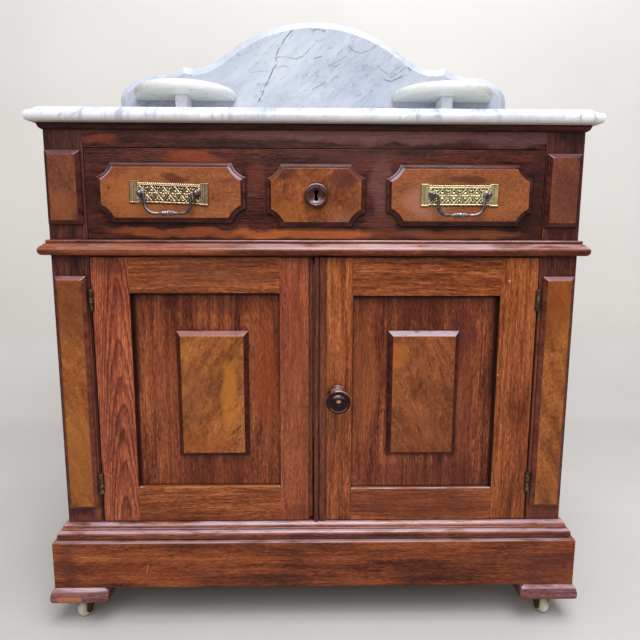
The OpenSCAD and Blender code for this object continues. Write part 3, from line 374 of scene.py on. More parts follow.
def burl(name, cad_name, seed, tones, lean=0.35, stretch=0.4, scale=1.0, figure=0.7, knots=0.5,
         wisp=0.6, places=(), axis="Z", dust_and_sheen=((150, 108, 108), 0.8), scoop_highlight=None, rub_and_highlight=0.6,
         gloss=0.5, dull=0.0, stain_and_shade=((50, 20, 18), (86, 42, 34))):
    """Polished burl veneer on the face of a raised block: blotches, wisps and small dark
    eyes. Lean, in radians, and stretch shape its figure. The moulded or bevelled edge is
    solid wood: stain_and_shade is its two dark tones, stained and painted shade,
    dust_and_sheen the tone and strength of the dusty tint and painted sheen on what faces
    up, and dull how matt that is. Scoop_highlight is the painted highlight in the hollowed
    corners, with its strength at the left and at the right. Rub_and_highlight is how pale
    the arrises are, rubbed by use and a painted highlight."""
    g = Graph(name)

    def grained(along, across):
        return (across, across, along) if axis == "Z" else (along, across, across)

    p = g.vector("ADD", g.place(), (seed * 1.7 % 5, seed * 0.9 % 4, seed * 2.3 % 6))
    turned = g.scaled(p, (1, 1, 1), turn=(0, lean, 0))
    warped = g.warp(g.scaled(turned, grained(stretch, 1)), 18 * scale, 50 * MM)
    cloud = g.noise(warped, 34 * scale, 5, 0.62, 0.6)
    curl = g.noise(warped, 120 * scale, 5, 0.65, 0.4)
    fine = g.fibre(p, grained(170, 760), 3)
    mottle = g.fibre(p, (260, 260), 4, 0.65)
    value = (0.5 + g.swing(cloud, figure) + g.swing(curl, figure * 0.6) + g.swing(fine, 0.5)
             + g.swing(mottle, 0.4))
    colour = g.ramp(value, list(zip(TONE_STOPS, tones)))
    colour = patches(g, colour, places, curl)
    # dark wisps that follow the figure
    wisps = g.fibre(g.warp(turned, 26, 14 * MM), grained(26, 150), 3)
    wisps = g.steps(wisps, 0.56, 0.70) * g.steps(cloud, 0.40, 0.62) * wisp
    colour = g.tint(colour, wisps, WISP)
    if knots:
        eyes = g.add("ShaderNodeTexVoronoi", {"Vector": g.warp(p, 60, 20 * MM),
                                              "Scale": 60.0 * scale}, "Distance", feature="F1")
        rare = g.steps(g.noise(p, 16 * scale, 2, 0.5), 0.52, 0.66)
        colour = g.tint(colour, g.fall(eyes, 0.05, 0.22) * rare * knots, KNOT)
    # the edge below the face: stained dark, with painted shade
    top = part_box(cad_name)[0].y
    face = g.fall(g.split(g.place())[1], top + 0.25 * MM, top + 0.7 * MM)
    grime = g.fibre(p, (30, 90))
    off_face = 1.0 - face
    side_x, _, side_z = g.facing()
    colour = g.mix(face, g.ramp(grime, list(zip((0.35, 0.62), stain_and_shade))), colour)
    # old polish and painted shade in the crevices
    colour = g.tint(colour, g.crevice(CREVICE) * 0.8, (26, 8, 6))
    # a dusty tint and a painted sheen on what faces up, off the face
    tone, strength = dust_and_sheen
    up = g.steps(side_z, 0.15, 0.6) * g.steps(grime, 0.25, 0.5) * strength
    colour = g.tint(colour, up * off_face, tone)
    # painted highlights in the hollowed corners
    if scoop_highlight:
        tone, left, right = scoop_highlight
        bowl = g.fall(side_x, -0.4, -0.15) * left + g.steps(side_x, 0.15, 0.4) * right
        colour = g.tint(colour, bowl * g.steps(side_z, 0.1, 0.35) * off_face, tone)
    matt = 1.0 - g.steps(side_z, 0.15, 0.5) * off_face * dull
    # arrises rubbed pale by use, and a painted highlight
    worn_and_lit_arris = g.edge(ARRIS) * g.steps(mottle, 0.30, 0.52)
    colour = g.tint(colour, worn_and_lit_arris * rub_and_highlight, RUBBED_BURL_AND_HIGHLIGHT)
    roughness = 0.28 + g.swing(g.noise(p, 60), 0.2)
    bump = g.bump(curl * 0.7 + fine * 0.4, 0.20, 0.4 * MM)
    return g.finish(Base_Color=colour, Roughness=roughness, Normal=bump,
                    Specular_IOR_Level=matt * 0.4, Coat_Weight=matt * gloss,
                    Coat_Roughness=0.12)


SMOKE = (166, 174, 192)
HAIR = (128, 136, 156)
FLAKE = (128, 136, 158)
DASH = (120, 128, 150)
BOLD_VEIN = (84, 92, 116)
DRIP = (158, 164, 180)
LIT_BEVEL = ((160, 168, 180), (196, 202, 212), (208, 213, 222))
MARBLE_DIRT_AND_SHADE = (150, 148, 140)
VEIN_LEAN = math.radians(-52)


def marble(name, seed, tones, veins=1.0, lines=(), drips=0.0, underside_shade=None, edge_highlight=0.0,
           rim=0.0, dashes=0.0):
    """White marble with fine grey-blue veins that lean from lower left to upper
    right. Tones run from grey to white. Lines are veins drawn: points, width
    and strength. Drips are upright streaks on a moulded edge. Underside_shade is painted
    shade on what faces down: tone, strength, and how far a face turns down where it is
    full and where it ends. Edge_highlight is a painted highlight, how white the arrises
    are, rim is painted light, how much paler a bevel is, and dashes the strength of many short
    veins."""
    g = Graph(name)
    place = g.place()
    p = g.vector("ADD", place, (seed * 0.37 % 2, seed * 0.71 % 3, seed * 0.53 % 2))
    turned = g.scaled(p, (1, 1, 1), turn=(0, VEIN_LEAN, 0))
    warped = g.warp(g.scaled(turned, (1, 1, 0.34)), 9, 35 * MM, 5)
    cloud = g.noise(warped, 14, 5, 0.62)
    fine = g.noise(warped, 90, 4, 0.65)
    value = 0.5 + g.swing(cloud, 1.0) + g.swing(fine, 0.45)
    colour = g.ramp(value, list(zip((0.2, 0.42, 0.6, 0.8), tones)))

    def line(scale, width, detail, rough):
        field = g.noise(warped, scale, detail, rough)
        return g.fall(g.math("ABSOLUTE", field - 0.5), 0.0, width)

    presence = g.steps(g.noise(p, 8, 3, 0.55), 0.44, 0.62)
    hair = line(16, 0.012, 5, 0.62) * presence
    rare = g.steps(g.noise(warped, 75, 3, 0.6), 0.54, 0.64)
    flakes = line(60, 0.05, 3, 0.6) * rare
    smoke = line(7, 0.10, 5, 0.7) * 0.5
    colour = g.tint(colour, smoke * (veins * 0.5), SMOKE)
    colour = g.tint(colour, hair * (veins * 0.6), HAIR)
    colour = g.tint(colour, flakes * (veins * 0.7), FLAKE)
    if dashes:
        # many short dashes that rise to the right
        short = g.fibre(turned, (330, 330, 62), 2, 0.5)
        crowd = g.steps(g.noise(p, 20, 2, 0.5), 0.36, 0.56)
        colour = g.tint(colour, g.steps(short, 0.60, 0.68) * crowd * dashes, DASH)
    if lines:
        x, _, z = g.split(g.warp(place, 75, 6.5 * MM, 4))
        flat = g.join(x, z, 0.0)
        fade = g.steps(g.noise(place, 130, 3, 0.6), 0.30, 0.52)
        for points, width, strength in lines:
            on = polyline(g, flat, points, width, 0.3)
            colour = g.tint(colour, on * fade * strength, BOLD_VEIN)
    if drips:
        # short upright grey streaks on the moulded edge, in groups
        run = g.fibre(p, (110, 20, 8), 3, 0.65)
        group = g.steps(g.noise(p, 16, 2, 0.5), 0.36, 0.56)
        front = g.steps(-g.facing()[1], 0.1, 0.6)
        colour = g.tint(colour, g.steps(run, 0.50, 0.64) * group * front * drips, DRIP)
    # painted shade on what faces down
    if underside_shade:
        tone, strength, full, end = underside_shade
        colour = g.tint(colour, g.fall(g.facing()[2], full, end) * strength, tone)
    # painted light: a bevel made paler than the face
    if rim:
        slope = g.fall(-g.facing()[1], 0.93, 0.99)
        colour = g.mix(slope * rim, colour, g.ramp(value, list(zip((0.3, 0.55, 0.7), LIT_BEVEL))))
    # painted highlight: white arrises
    if edge_highlight:
        colour = g.tint(colour, g.edge(2.4 * MM) * edge_highlight, (255, 255, 255))
    # dirt and painted shade in the crevices
    colour = g.tint(colour, g.crevice(10 * MM) * 0.3, MARBLE_DIRT_AND_SHADE)
    rough = 0.30 + g.swing(g.noise(p, 40), 0.2)
    bump = g.bump(g.noise(p, 260, 3, 0.6), 0.06, 0.3 * MM)
    return g.finish(Base_Color=colour, Roughness=rough, Normal=bump, Specular_IOR_Level=0.5,
                    Subsurface_Weight=0.05, Subsurface_Radius=(0.01, 0.01, 0.01),
                    Subsurface_Scale=0.3)


def metal(name, seed, tones, rough=0.40, relief=0.4, dirt=0.85, shine=0.5, hollow=2.2 * MM,
          ground=None):
    """Old metal: dull in the hollows, rubbed bright on what stands proud. Ground is the
    depth, as y, at which a stamped face is as black as its hollows, and the y of its top."""
    dark, mid, light = tones
    g = Graph(name)
    p = g.vector("ADD", g.place(), (seed * 0.3, seed * 0.7, seed * 0.2))
    blotch = g.noise(p, 150, 5, 0.62, 0.4)
    grit = g.noise(p, 1100, 3, 0.6)
    value = 0.5 + g.swing(blotch, 1.0) + g.swing(grit, 0.5)
    colour = g.ramp(value, [(0.25, dark), (0.5, mid), (0.75, light)])
    colour = g.tint(colour, g.crevice(hollow, 0.45) * dirt, (30, 22, 14))
    if ground:
        sunk = g.steps(g.split(g.place())[1], ground[1], ground[0])
        colour = g.tint(colour, sunk * 0.9, (34, 24, 16))
    colour = g.tint(colour, g.edge(0.5 * MM) * shine, [v + 60 for v in light])
    bump = g.bump(blotch + grit * 0.4, relief * 0.3, 0.3 * MM)
    return g.finish(Base_Color=colour, Roughness=rough + g.swing(blotch, 0.3), Metallic=0.85,
                    Normal=bump)


def pine(name, axis, seed):
    """Bare softwood of the inside, browned with age."""
    g = Graph(name)
    p = grain_space(g, axis, seed)
    _, y, z = g.split(p)
    bent = g.fibre(p, (1.4, 9), 3, 0.55)
    rings = g.math("SINE", bent * 60.0 + (y + z) * 150.0)
    rings = g.math("MULTIPLY_ADD", rings, 0.5, 0.5)
    streaks = g.fibre(p, (6, 150))
    value = rings * 0.16 + streaks * 0.84
    colour = g.ramp(value, [(0.2, (128, 84, 48)), (0.5, (164, 118, 72)), (0.8, (186, 144, 96))])
    dirt = g.steps(g.noise(p, 5), 0.45, 0.75)
    colour = g.tint(colour, dirt * 0.35, (92, 62, 40))
    # painted shade and dirt darken the crevices
    colour = g.tint(colour, g.crevice(20 * MM) * 0.5, (60, 38, 24))
    return g.finish(Base_Color=colour, Roughness=0.62 + streaks * 0.2,
                    Normal=g.bump(streaks, 0.2, 0.5 * MM))


def porcelain(name, seed):
    """Cream glazed china with fine crazing and some grime."""
    g = Graph(name)
    p = g.vector("ADD", g.place(), (seed * 0.3, seed * 0.7, seed * 0.2))
    cloud = g.noise(p, 90)
    colour = g.ramp(cloud, [(0.3, (206, 196, 172)), (0.6, (236, 230, 214))])
    craze = g.add("ShaderNodeTexVoronoi", {"Vector": p, "Scale": 420.0}, "Distance",
                  feature="DISTANCE_TO_EDGE")
    colour = g.tint(colour, g.fall(craze, 0.0, 0.05) * 0.35, (150, 132, 104))
    grime = g.steps(g.noise(p, 180, 4, 0.65), 0.52, 0.7)
    colour = g.tint(colour, grime * 0.4, (146, 130, 106))
    return g.finish(Base_Color=colour, Roughness=0.14 + cloud * 0.15, Coat_Weight=0.4,
                    Coat_Roughness=0.06)


def paint(name, material):
    data = nodes[name].data
    data.materials.clear()
    data.materials.append(material)


# ---- finishes of the solids ----

# Walnut tones, from deep to light
RED = ((52, 18, 10), (98, 42, 22), (136, 68, 36), (172, 98, 54))
ORANGE = ((84, 36, 14), (124, 60, 26), (160, 86, 42), (196, 118, 64))
ROSE = ((86, 34, 22), (130, 60, 38), (162, 82, 52), (194, 112, 72))
DARK = ((30, 8, 8), (54, 20, 16), (78, 34, 26), (124, 58, 32))
PLUM = ((36, 14, 14), (66, 32, 28), (90, 46, 38), (126, 68, 46))
UMBER = ((56, 22, 10), (100, 46, 20), (138, 68, 32), (174, 98, 48))
FOOT = ((46, 16, 16), (92, 50, 46), (130, 80, 78), (166, 116, 112))
SHADE = ((40, 14, 10), (74, 34, 24), (102, 52, 36), (142, 78, 50))
TURNED = ((30, 10, 8), (60, 24, 18), (92, 42, 30), (136, 76, 58))
# Burl tones, from deep to light
BURL = ((80, 40, 16), (126, 68, 28), (158, 90, 40), (194, 124, 62))
EMBER = ((70, 32, 16), (112, 58, 28), (142, 76, 38), (178, 108, 56))
TAN = ((84, 42, 22), (124, 68, 38), (152, 88, 50), (184, 118, 74))
RUST = ((62, 28, 20), (96, 50, 34), (122, 68, 46), (152, 92, 62))
# Single tones of places, specks and ledges: the pale one also paints glints, and the ledge and
# lilac ones paint sheen and highlights
FIRE = (150, 62, 26)
NIGHT = (52, 24, 24)
PALE = (232, 204, 196)
LEDGE_SHEEN = (196, 160, 162)
LILAC_HIGHLIGHT = (206, 184, 198)
RECESS_SHADE = (38, 13, 10)
SHADOW = (26, 8, 8)

# The visible opening of each door's panel, as x and z in mm
LEFT_OPEN = ((-261.5, -51.5), (212.5, 502.0))
RIGHT_OPEN = ((52.5, 261.5), (209.0, 498.5))


def speck(x, z, radius, tone, behind=0.0):
    """A small spot, chip or painted glint, in mm, this far behind the case's front."""
    return (x * MM, FRONT_Y + behind * MM, z * MM), radius, tone


def recess(opening, outer):
    """Painted shade in a panel's corners: wide along its outer side, wider still at the top."""
    (x0, x1), (z0, z1) = opening
    x = x0 if outer < 0 else x1
    return [([(x, z1 + 4), (x, z0 - 4)], 5.5, RECESS_SHADE, 0.8),
            ([(x, z1 + 4), (x, (z0 + z1) / 2)], 9.0, RECESS_SHADE, 0.7),
            ([(x0, z1), (x1, z1)], 7.0, RECESS_SHADE, 0.75),
            ([(x0, z0), (x1, z0)], 2.0, RECESS_SHADE, 0.6)]


def drawer_shadows():
    """Painted shadow on the drawer front, below each block and at its right."""
    out = []
    for block in ("drawer_left_block", "drawer_key_block", "drawer_right_block"):
        (x0, _, z0), (x1, _, z1) = (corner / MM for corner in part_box(block))
        out.append(([(x0 + 16, z0 - 1), (x1 - 16, z0 - 1), (x1 - 4, z0 + 12),
                     (x1 - 1, z1 - 16)], 6.5, SHADOW, 0.55))
    return out


DOOR_PANEL = dict(contrast=1.2, pores=1.0)
# Each wooden solid: the way of its grain, its tones, and walnut()'s options
WOODS = {
    # the front posts' strokes are painted shade in the gaps beside the doors, and the dark place
    # at the top right is painted shadow under the marble's edge
    "front_posts": ("Z", PLUM, dict(gloss=0.3, places=[(-324, 330, 14, 210, (156, 88, 54), 0.85),
        (324, 330, 14, 210, (140, 76, 44), 0.85), (344, 172, 40, 22, (118, 58, 38), 0.8),
        (350, 716, 30, 18, (40, 18, 20), 0.7), (-350, 160, 30, 14, (130, 66, 42), 0.6),
        (345, 640, 30, 90, NIGHT, 0.5)],
        strokes=[([(-315, 500), (-315, 165)], 5.0, (34, 14, 12), 0.85),
        ([(315, 500), (315, 165)], 3.0, (34, 14, 12), 0.85)])),
    "back_posts": ("Z", RED, {}),
    "side_rails": ("Y", RED, {}),
    "side_panels": ("Z", UMBER, dict(wave=0.012, rings=(90, 0.12))),
    # the pinkish places along the top rail are a painted reflection
    "top_rails": ("X", DARK, dict(gloss=0.25, patch=0.5,
        places=[(-292, 709, 32, 8, (150, 64, 34), 0.6), (-60, 718, 150, 7, (100, 48, 40), 0.5),
        (60, 716, 240, 12, (126, 80, 82), 0.75), (285, 716, 70, 14, (108, 72, 76), 0.7)])),
    "middle_rails": ("X", DARK, {}),
    "cupboard_floor": ("X", UMBER, {}),
    # the top moulding's deep tones are partly painted shadow under the marble's edge
    "top_moulding": ("ring", DARK, dict(wear_and_highlight=0.1, gloss=0.3)),
    "waist_moulding": ("ring", RED, dict(wear_and_highlight=0.6, dust_and_sheen=(LEDGE_SHEEN, 0.8, 900), bare_left=0.75,
        places=[(-230, 564, 150, 12, (176, 96, 54), 0.5)])),
    "base_moulding": ("ring", RED, dict(wear_and_highlight=0.6, dust_and_sheen=((212, 182, 192), 0.65, 900))),
    "plinth": ("ring", UMBER, dict(wave=0.004, patch=0.7, dust_and_sheen=(LEDGE_SHEEN, 0.7, 900),
        places=[(-60, 78, 70, 10, NIGHT, 0.5), (180, 84, 90, 16, NIGHT, 0.4),
        (335, 86, 60, 34, (98, 44, 40), 0.5), (-364, 90, 18, 50, (88, 38, 34), 0.5),
        (-250, 90, 80, 24, FIRE, 0.25)],
        strokes=[([(-247, 100), (-250, 88)], 0.8, (186, 140, 112), 0.6)],
        specks=[speck(318, 90, 1.6, (40, 14, 10)), speck(-246, 101, 1.2, (226, 210, 206))])),
    "feet": ("X", FOOT, dict(contrast=0.7, wear_and_highlight=0.8, dust_and_sheen=((212, 180, 190), 0.75, 900),
        strokes=[([(-378, 48), (-350, 48)], 6.0, (190, 112, 74), 0.85)])),
    # the pinkish place near the middle is a painted reflection, and the strokes are painted shadow
    # below the blocks
    "drawer_front": ("X", DARK, dict(gloss=0.3, patch=0.7, band=0.5,
        places=[(-165, 688, 56, 9, FIRE, 0.65), (-86, 655, 16, 30, (110, 50, 34), 0.6),
        (-190, 588, 120, 9, (150, 74, 36), 0.9), (-20, 584, 120, 12, (176, 92, 44), 1.0),
        (200, 584, 100, 10, (130, 70, 42), 0.9), (40, 690, 100, 12, (96, 50, 42), 0.6),
        (88, 650, 18, 44, (112, 70, 66), 0.8), (96, 600, 30, 30, (104, 56, 40), 0.6),
        (305, 640, 22, 90, NIGHT, 0.7)], strokes=drawer_shadows(),
        specks=[speck(236, 598, 1.1, PALE)])),
    "left_door_stiles": ("Z", ROSE, dict(wave=0.008, fleck=0.55, band=0.5,
        arches=(-0.28, 6000, 20.0, 0.2), sides=0.8,
        places=[(-28, 340, 26, 200, (152, 84, 40), 0.4), (-285, 540, 30, 12, (92, 44, 34), 0.6),
        (-28, 172, 26, 14, (104, 48, 30), 0.6)])),
    # the door rails' pale ledges are painted sheen, and the pale specks at the left panel's lower
    # corners are painted glints
    "left_door_rails": ("X", ORANGE, dict(wave=0.005, rings=(150, 0.08), streak=0.65,
        dust_and_sheen=((206, 142, 98), 0.8, 3), places=[(-150, 527, 110, 22, (108, 62, 46), 0.45)],
        specks=[speck(-258, 213.5, 2.6, PALE, 3), speck(-54.5, 213.5, 2.6, PALE, 3)])),
    "left_door_panel": ("Z", RED, dict(DOOR_PANEL, strokes=recess(LEFT_OPEN, -1),
        places=[(-150, 484, 110, 20, (84, 32, 22), 0.5), (-70, 380, 22, 110, (142, 60, 18), 0.7),
        (-215, 360, 30, 120, (150, 76, 42), 0.4), (-150, 235, 100, 26, (116, 50, 28), 0.5)])),
    "right_door_stiles": ("Z", ORANGE, dict(band=0.9, sides=0.8,
        strokes=[([(276, 520), (275, 340), (277, 210)], 1.2, (96, 40, 24), 0.5),
        ([(297, 536), (298, 400)], 1.4, (104, 44, 24), 0.45)],
        specks=[speck(273.6, 519.4, 1.9, (222, 156, 138)),
        speck(263.6, 383, 1.3, (222, 156, 138))])),
    "right_door_rails": ("X", ORANGE, dict(wave=0.006, rings=(130, 0.1), streak=0.65,
        dust_and_sheen=((226, 208, 212), 0.8, 3), places=[(150, 185, 150, 40, (104, 48, 30), 0.6)])),
    "right_door_panel": ("Z", RED, dict(DOOR_PANEL, strokes=recess(RIGHT_OPEN, 1),
        places=[(170, 480, 120, 26, (92, 38, 30), 0.5), (72, 380, 22, 130, (150, 80, 38), 0.6),
        (215, 330, 26, 130, (134, 66, 38), 0.5), (216, 440, 26, 40, (86, 34, 32), 0.6),
        (150, 228, 110, 22, (98, 40, 30), 0.6)])),
    "astragal": ("Z", SHADE, dict(wear_and_highlight=0.5)),
    "keyhole_ring": ("Y", TURNED, dict(rough=0.26, wear_and_highlight=0.9, gloss=0.8, relief=0.08,
        front=(74, 44, 44), dust_and_sheen=((214, 184, 196), 0.6, 900))),
    "door_knob": ("Y", TURNED, dict(rough=0.26, wear_and_highlight=0.5, gloss=0.9, relief=0.06,
        front=(24, 11, 11), dust_and_sheen=((206, 148, 140), 0.6, 900))),
}
for seed, (name, (axis, tones, options)) in enumerate(WOODS.items()):
    paint(name, walnut("walnut_" + name, axis, seed + 1, tones, **options))

DRAWER_BLOCK = dict(dust_and_sheen=((104, 58, 48), 0.5), gloss=0.3, dull=0.9)
PULL_BLOCK = dict(DRAWER_BLOCK, axis="X", lean=0.05, figure=0.4, rub_and_highlight=0.45)
# Each raised block: its tones, and burl()'s options
BURLS = {
    "upper_post_blocks": (RUST, dict(figure=0.4, knots=0.2, wisp=0.2, dust_and_sheen=((124, 84, 88), 0.7),
        places=[(-342, 620, 20, 24, (146, 84, 44), 0.5), (342, 640, 26, 40, (96, 52, 46), 0.4)])),
    "lower_post_blocks": (BURL, dict(scale=0.9, wisp=0.5, stain_and_shade=((84, 38, 28), (122, 64, 46)),
        dust_and_sheen=((150, 106, 110), 0.9), places=[(-342, 260, 40, 80, (168, 102, 40), 0.5),
        (342, 480, 30, 60, (128, 62, 20), 0.6), (-342, 480, 40, 60, (112, 62, 40), 0.5)])),
    "drawer_left_block": (TAN, dict(PULL_BLOCK, stretch=0.3, knots=0.0, wisp=0.15,
        scoop_highlight=(LILAC_HIGHLIGHT, 0.6, 0.65), places=[(-190, 661, 22, 7, (88, 38, 26), 0.8),
        (-122, 656, 14, 5, (104, 48, 32), 0.6), (-282, 645, 3, 4, (80, 32, 20), 0.9),
        (-250, 630, 40, 34, (180, 106, 54), 0.4)])),
    "drawer_key_block": (EMBER, dict(DRAWER_BLOCK, stretch=1.0, scale=1.4, knots=0.8, rub_and_highlight=0.5,
        wisp=0.4, scoop_highlight=((150, 84, 64), 0.7, 0.5), places=[(-40, 612, 30, 22, (152, 88, 40), 0.6),
        (-44, 666, 24, 10, (78, 40, 32), 0.8), (40, 662, 22, 16, (84, 40, 34), 0.8),
        (52, 630, 14, 16, (110, 62, 46), 0.25), (44, 606, 24, 16, (142, 92, 70), 0.5)])),
    "drawer_right_block": (TAN, dict(PULL_BLOCK, stretch=0.25, knots=0.1, wisp=0.2,
        scoop_highlight=(LILAC_HIGHLIGHT, 0.65, 0.0), places=[(150, 630, 42, 26, (176, 124, 100), 0.5),
        (208, 661, 34, 6, (84, 44, 34), 0.8)])),
    "left_door_block": (BURL, dict(lean=-0.5, wisp=0.8, dust_and_sheen=((164, 110, 100), 0.95), figure=0.8,
        places=[(-126, 350, 15, 70, (190, 116, 36), 0.7), (-176, 350, 22, 60, (140, 80, 50), 0.4),
        (-160, 280, 40, 20, (168, 84, 32), 0.5)])),
    "right_door_block": (EMBER, dict(lean=0.4, wisp=0.8, dust_and_sheen=((178, 156, 164), 0.95), figure=0.8,
        places=[(116, 412, 26, 26, (180, 102, 38), 0.6), (160, 300, 40, 40, (128, 66, 36), 0.4)])),
}
for seed, (name, (tones, options)) in enumerate(BURLS.items()):
    paint(name, burl("burl_" + name, name, seed + 3, tones, **options))

# The splashback's boldest veins, as (x, z) millimetres, width and strength
VEINS = [
    ([(-40, 956), (-54, 942), (-67, 921), (-72, 908), (-71, 898), (-76, 888), (-89, 862),
      (-105, 827)], 1.5, 1.0),
    ([(5, 939), (-5, 925), (-21, 910), (-35, 902)], 1.1, 0.6),
    ([(-71, 907), (-54, 909), (-35, 905), (-22, 909)], 1.6, 0.5),
    ([(-76, 888), (-58, 893), (-48, 890)], 1.4, 0.5),
    ([(64, 928), (75, 919), (85, 916), (99, 918), (117, 929)], 1.0, 0.8),
    ([(120, 893), (133, 882), (147, 873), (160, 882), (174, 892)], 1.0, 0.8),
    ([(133, 868), (146, 866), (156, 870), (166, 876)], 2.0, 0.7),
    ([(178, 892), (181, 886), (188, 885)], 1.6, 0.8),
    ([(143, 909), (151, 914)], 1.6, 0.6), ([(26, 892), (42, 900), (59, 910)], 1.0, 0.6),
    ([(37, 891), (50, 897)], 1.8, 0.6), ([(-4, 849), (10, 857), (20, 863)], 1.6, 0.7),
    ([(-1, 904), (13, 909)], 1.6, 0.8),
    ([(-11, 961), (-3, 956), (9, 958), (19, 954)], 2.4, 0.6),
    ([(90, 830), (103, 842), (111, 850)], 1.0, 0.5),
    ([(-121, 880), (-103, 882), (-85, 882)], 0.8, 0.4),
]
# Marble tones, from grey to white
GREYISH = ((140, 147, 161), (169, 176, 188), (184, 190, 200), (199, 203, 211))
WHITE = ((172, 178, 192), (214, 218, 227), (231, 233, 238), (241, 242, 244))
CHALK = ((222, 225, 230), (240, 242, 246), (248, 249, 251), (252, 252, 253))
CREAM = ((204, 204, 198), (228, 228, 222), (240, 240, 235), (246, 246, 242))
MARBLES = {
    "marble_top": (WHITE, dict(veins=0.8, drips=0.75, underside_shade=((206, 194, 176), 0.7, -0.75, 0.15))),
    "splashback": (GREYISH, dict(lines=VEINS, edge_highlight=0.7, rim=0.9, dashes=0.5)),
    "candle_shelves": (CREAM, dict(veins=0.35, underside_shade=((226, 228, 216), 0.9, -0.5, -0.2))),
    "shelf_brackets": (CHALK, dict(veins=0.5)),
}
for seed, (name, (tones, options)) in enumerate(MARBLES.items()):
    paint(name, marble("marble_" + name, seed + 2, tones, **options))

BRASS = ((146, 116, 64), (210, 178, 108), (250, 224, 158))
OLIVE = ((96, 72, 48), (144, 114, 80), (200, 172, 130))
DULL = ((92, 74, 44), (140, 114, 66), (190, 164, 104))
WORN = ((52, 44, 38), (104, 92, 68), (214, 200, 160))
BRONZE = ((78, 68, 68), (124, 112, 114), (190, 178, 186))
IRON = ((34, 30, 28), (52, 46, 44), (74, 66, 62))
CORNERS = ("front_left", "front_right", "back_left", "back_right")
METALS = {
    "case_hinges": (WORN, 0.45), "left_door_hinges": (WORN, 0.45),
    "right_door_hinges": (WORN, 0.45), "caster_plates": (DULL, 0.40), "lock_bolt": (BRASS, 0.40),
    **{corner + "_horn": (DULL, 0.40) for corner in CORNERS},
    "bail_studs": (BRONZE, 0.34), "stud_nuts": (IRON, 0.40), "drawer_lock": (IRON, 0.40),
}
for seed, (name, (tones, rough)) in enumerate(METALS.items()):
    paint(name, metal("metal_" + name, seed + 1, tones, rough))

PINES = {"back_boards": "Z", "drawer_runners": "Y", "door_stop": "X", "plinth_blocks": "Z",
         "drawer_sides": "Y", "drawer_back": "X", "drawer_bottom": "X"}
for seed, (name, axis) in enumerate(PINES.items()):
    paint(name, pine("pine_" + name, axis, seed + 1))

for seed, corner in enumerate(CORNERS):
    paint(corner + "_wheel", porcelain("porcelain_" + corner, seed + 1))


# ---- softened arrises ----

SAME_PLACE = 0.01 * MM


def softener():
    """A node group that welds a solid's triangles and shades it smooth up to a sharp fold."""
    group = bpy.data.node_groups.new("weld_and_smooth", "GeometryNodeTree")
    for way in ("INPUT", "OUTPUT"):
        group.interface.new_socket("Geometry", in_out=way, socket_type="NodeSocketGeometry")
    make, link = group.nodes.new, group.links.new
    weld = make("GeometryNodeMergeByDistance")
    weld.inputs["Distance"].default_value = SAME_PLACE
    compare = make("FunctionNodeCompare")
    compare.inputs[1].default_value = math.radians(30)
    normal = make("GeometryNodeSetMeshNormal")
    normal.mode = "SHARPNESS"
    normal.inputs["Remove Custom"].default_value = True
    link(make("NodeGroupInput").outputs[0], weld.inputs["Geometry"])
    link(weld.outputs[0], normal.inputs["Mesh"])
    link(make("GeometryNodeInputMeshEdgeAngle").outputs["Unsigned Angle"], compare.inputs[0])
    link(compare.outputs[0], normal.inputs["Edge Sharpness"])
    link(normal.outputs[0], make("NodeGroupOutput").inputs[0])
    return group


WELD = softener()


def soften(shown, width):
    """Rounds the arrises of a solid as it is shown, by a width in mm."""
    shown.modifiers.new("weld", "NODES").node_group = WELD
    bevel = shown.modifiers.new("arris", "BEVEL")
    bevel.limit_method = "ANGLE"
    bevel.angle_limit = math.radians(32)
    bevel.width = width * MM
    bevel.segments = 2
    shade = shown.modifiers.new("flat_faces", "WEIGHTED_NORMAL")
    shade.weight = 100
    shade.keep_sharp = True


# Widths of the arrises, in mm, and the solids that have them
ARRISES = {
    0.4: ("top_moulding",), 0.6: ("top_rails", "left_door_rails", "right_door_rails"),
    0.7: ("drawer_front",),
    0.8: ("front_posts", "plinth", "left_door_stiles", "right_door_stiles", "marble_top",
          "candle_shelves", "shelf_brackets", "feet"),
    0.9: ("upper_post_blocks", "lower_post_blocks"), 1.0: ("left_door_block", "right_door_block"),
}
for width, names in ARRISES.items():
    for name in names:
        soften(nodes[name], width)


# ---- pieces in place of solids ----


def add_object(name, verts, faces, material):
    mesh = bpy.data.meshes.new(name)
    mesh.from_pydata(verts, [], faces)
    for face in mesh.polygons:
        face.use_smooth = True
    mesh.materials.append(material)
    obj = bpy.data.objects.new(name, mesh)
    scene.collection.objects.link(obj)
    return obj


def add_piece(name, verts, faces, material, body, slot, stands_for):
    obj = add_object(name, verts, faces, material)
    work = bmesh.new()
    work.from_mesh(obj.data)
    bmesh.ops.recalc_face_normals(work, faces=work.faces)
    work.to_mesh(obj.data)
    work.free()
    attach(obj, body)
    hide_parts(stands_for)
    return obj


def mended(name, body, slot, width):
    """The same solid with its flat front and back faces whole: some of its own end
    faces point the wrong way and cross the outline where that turns inward."""
    low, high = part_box(name)
    work = bmesh.new()
    work.from_mesh(nodes[name].data)
    bmesh.ops.remove_doubles(work, verts=work.verts, dist=SAME_PLACE)
    for plane in (low.y, high.y):
        flat = [face for face in work.faces
                if all(abs(corner.co.y - plane) < SAME_PLACE for corner in face.verts)]
        if len({face.normal.y > 0 for face in flat}) > 1:
            bmesh.ops.delete(work, geom=flat, context="FACES")
    rim = [edge for edge in work.edges if edge.is_boundary]
    bmesh.ops.holes_fill(work, edges=rim, sides=0)
    work.verts.index_update()
    verts = [tuple(vert.co) for vert in work.verts]
    faces = [[vert.index for vert in face.verts] for face in work.faces]
    work.free()
    soften(add_piece(name + "_whole", verts, faces, nodes[name].data.materials[0], body, slot,
                     name), width)


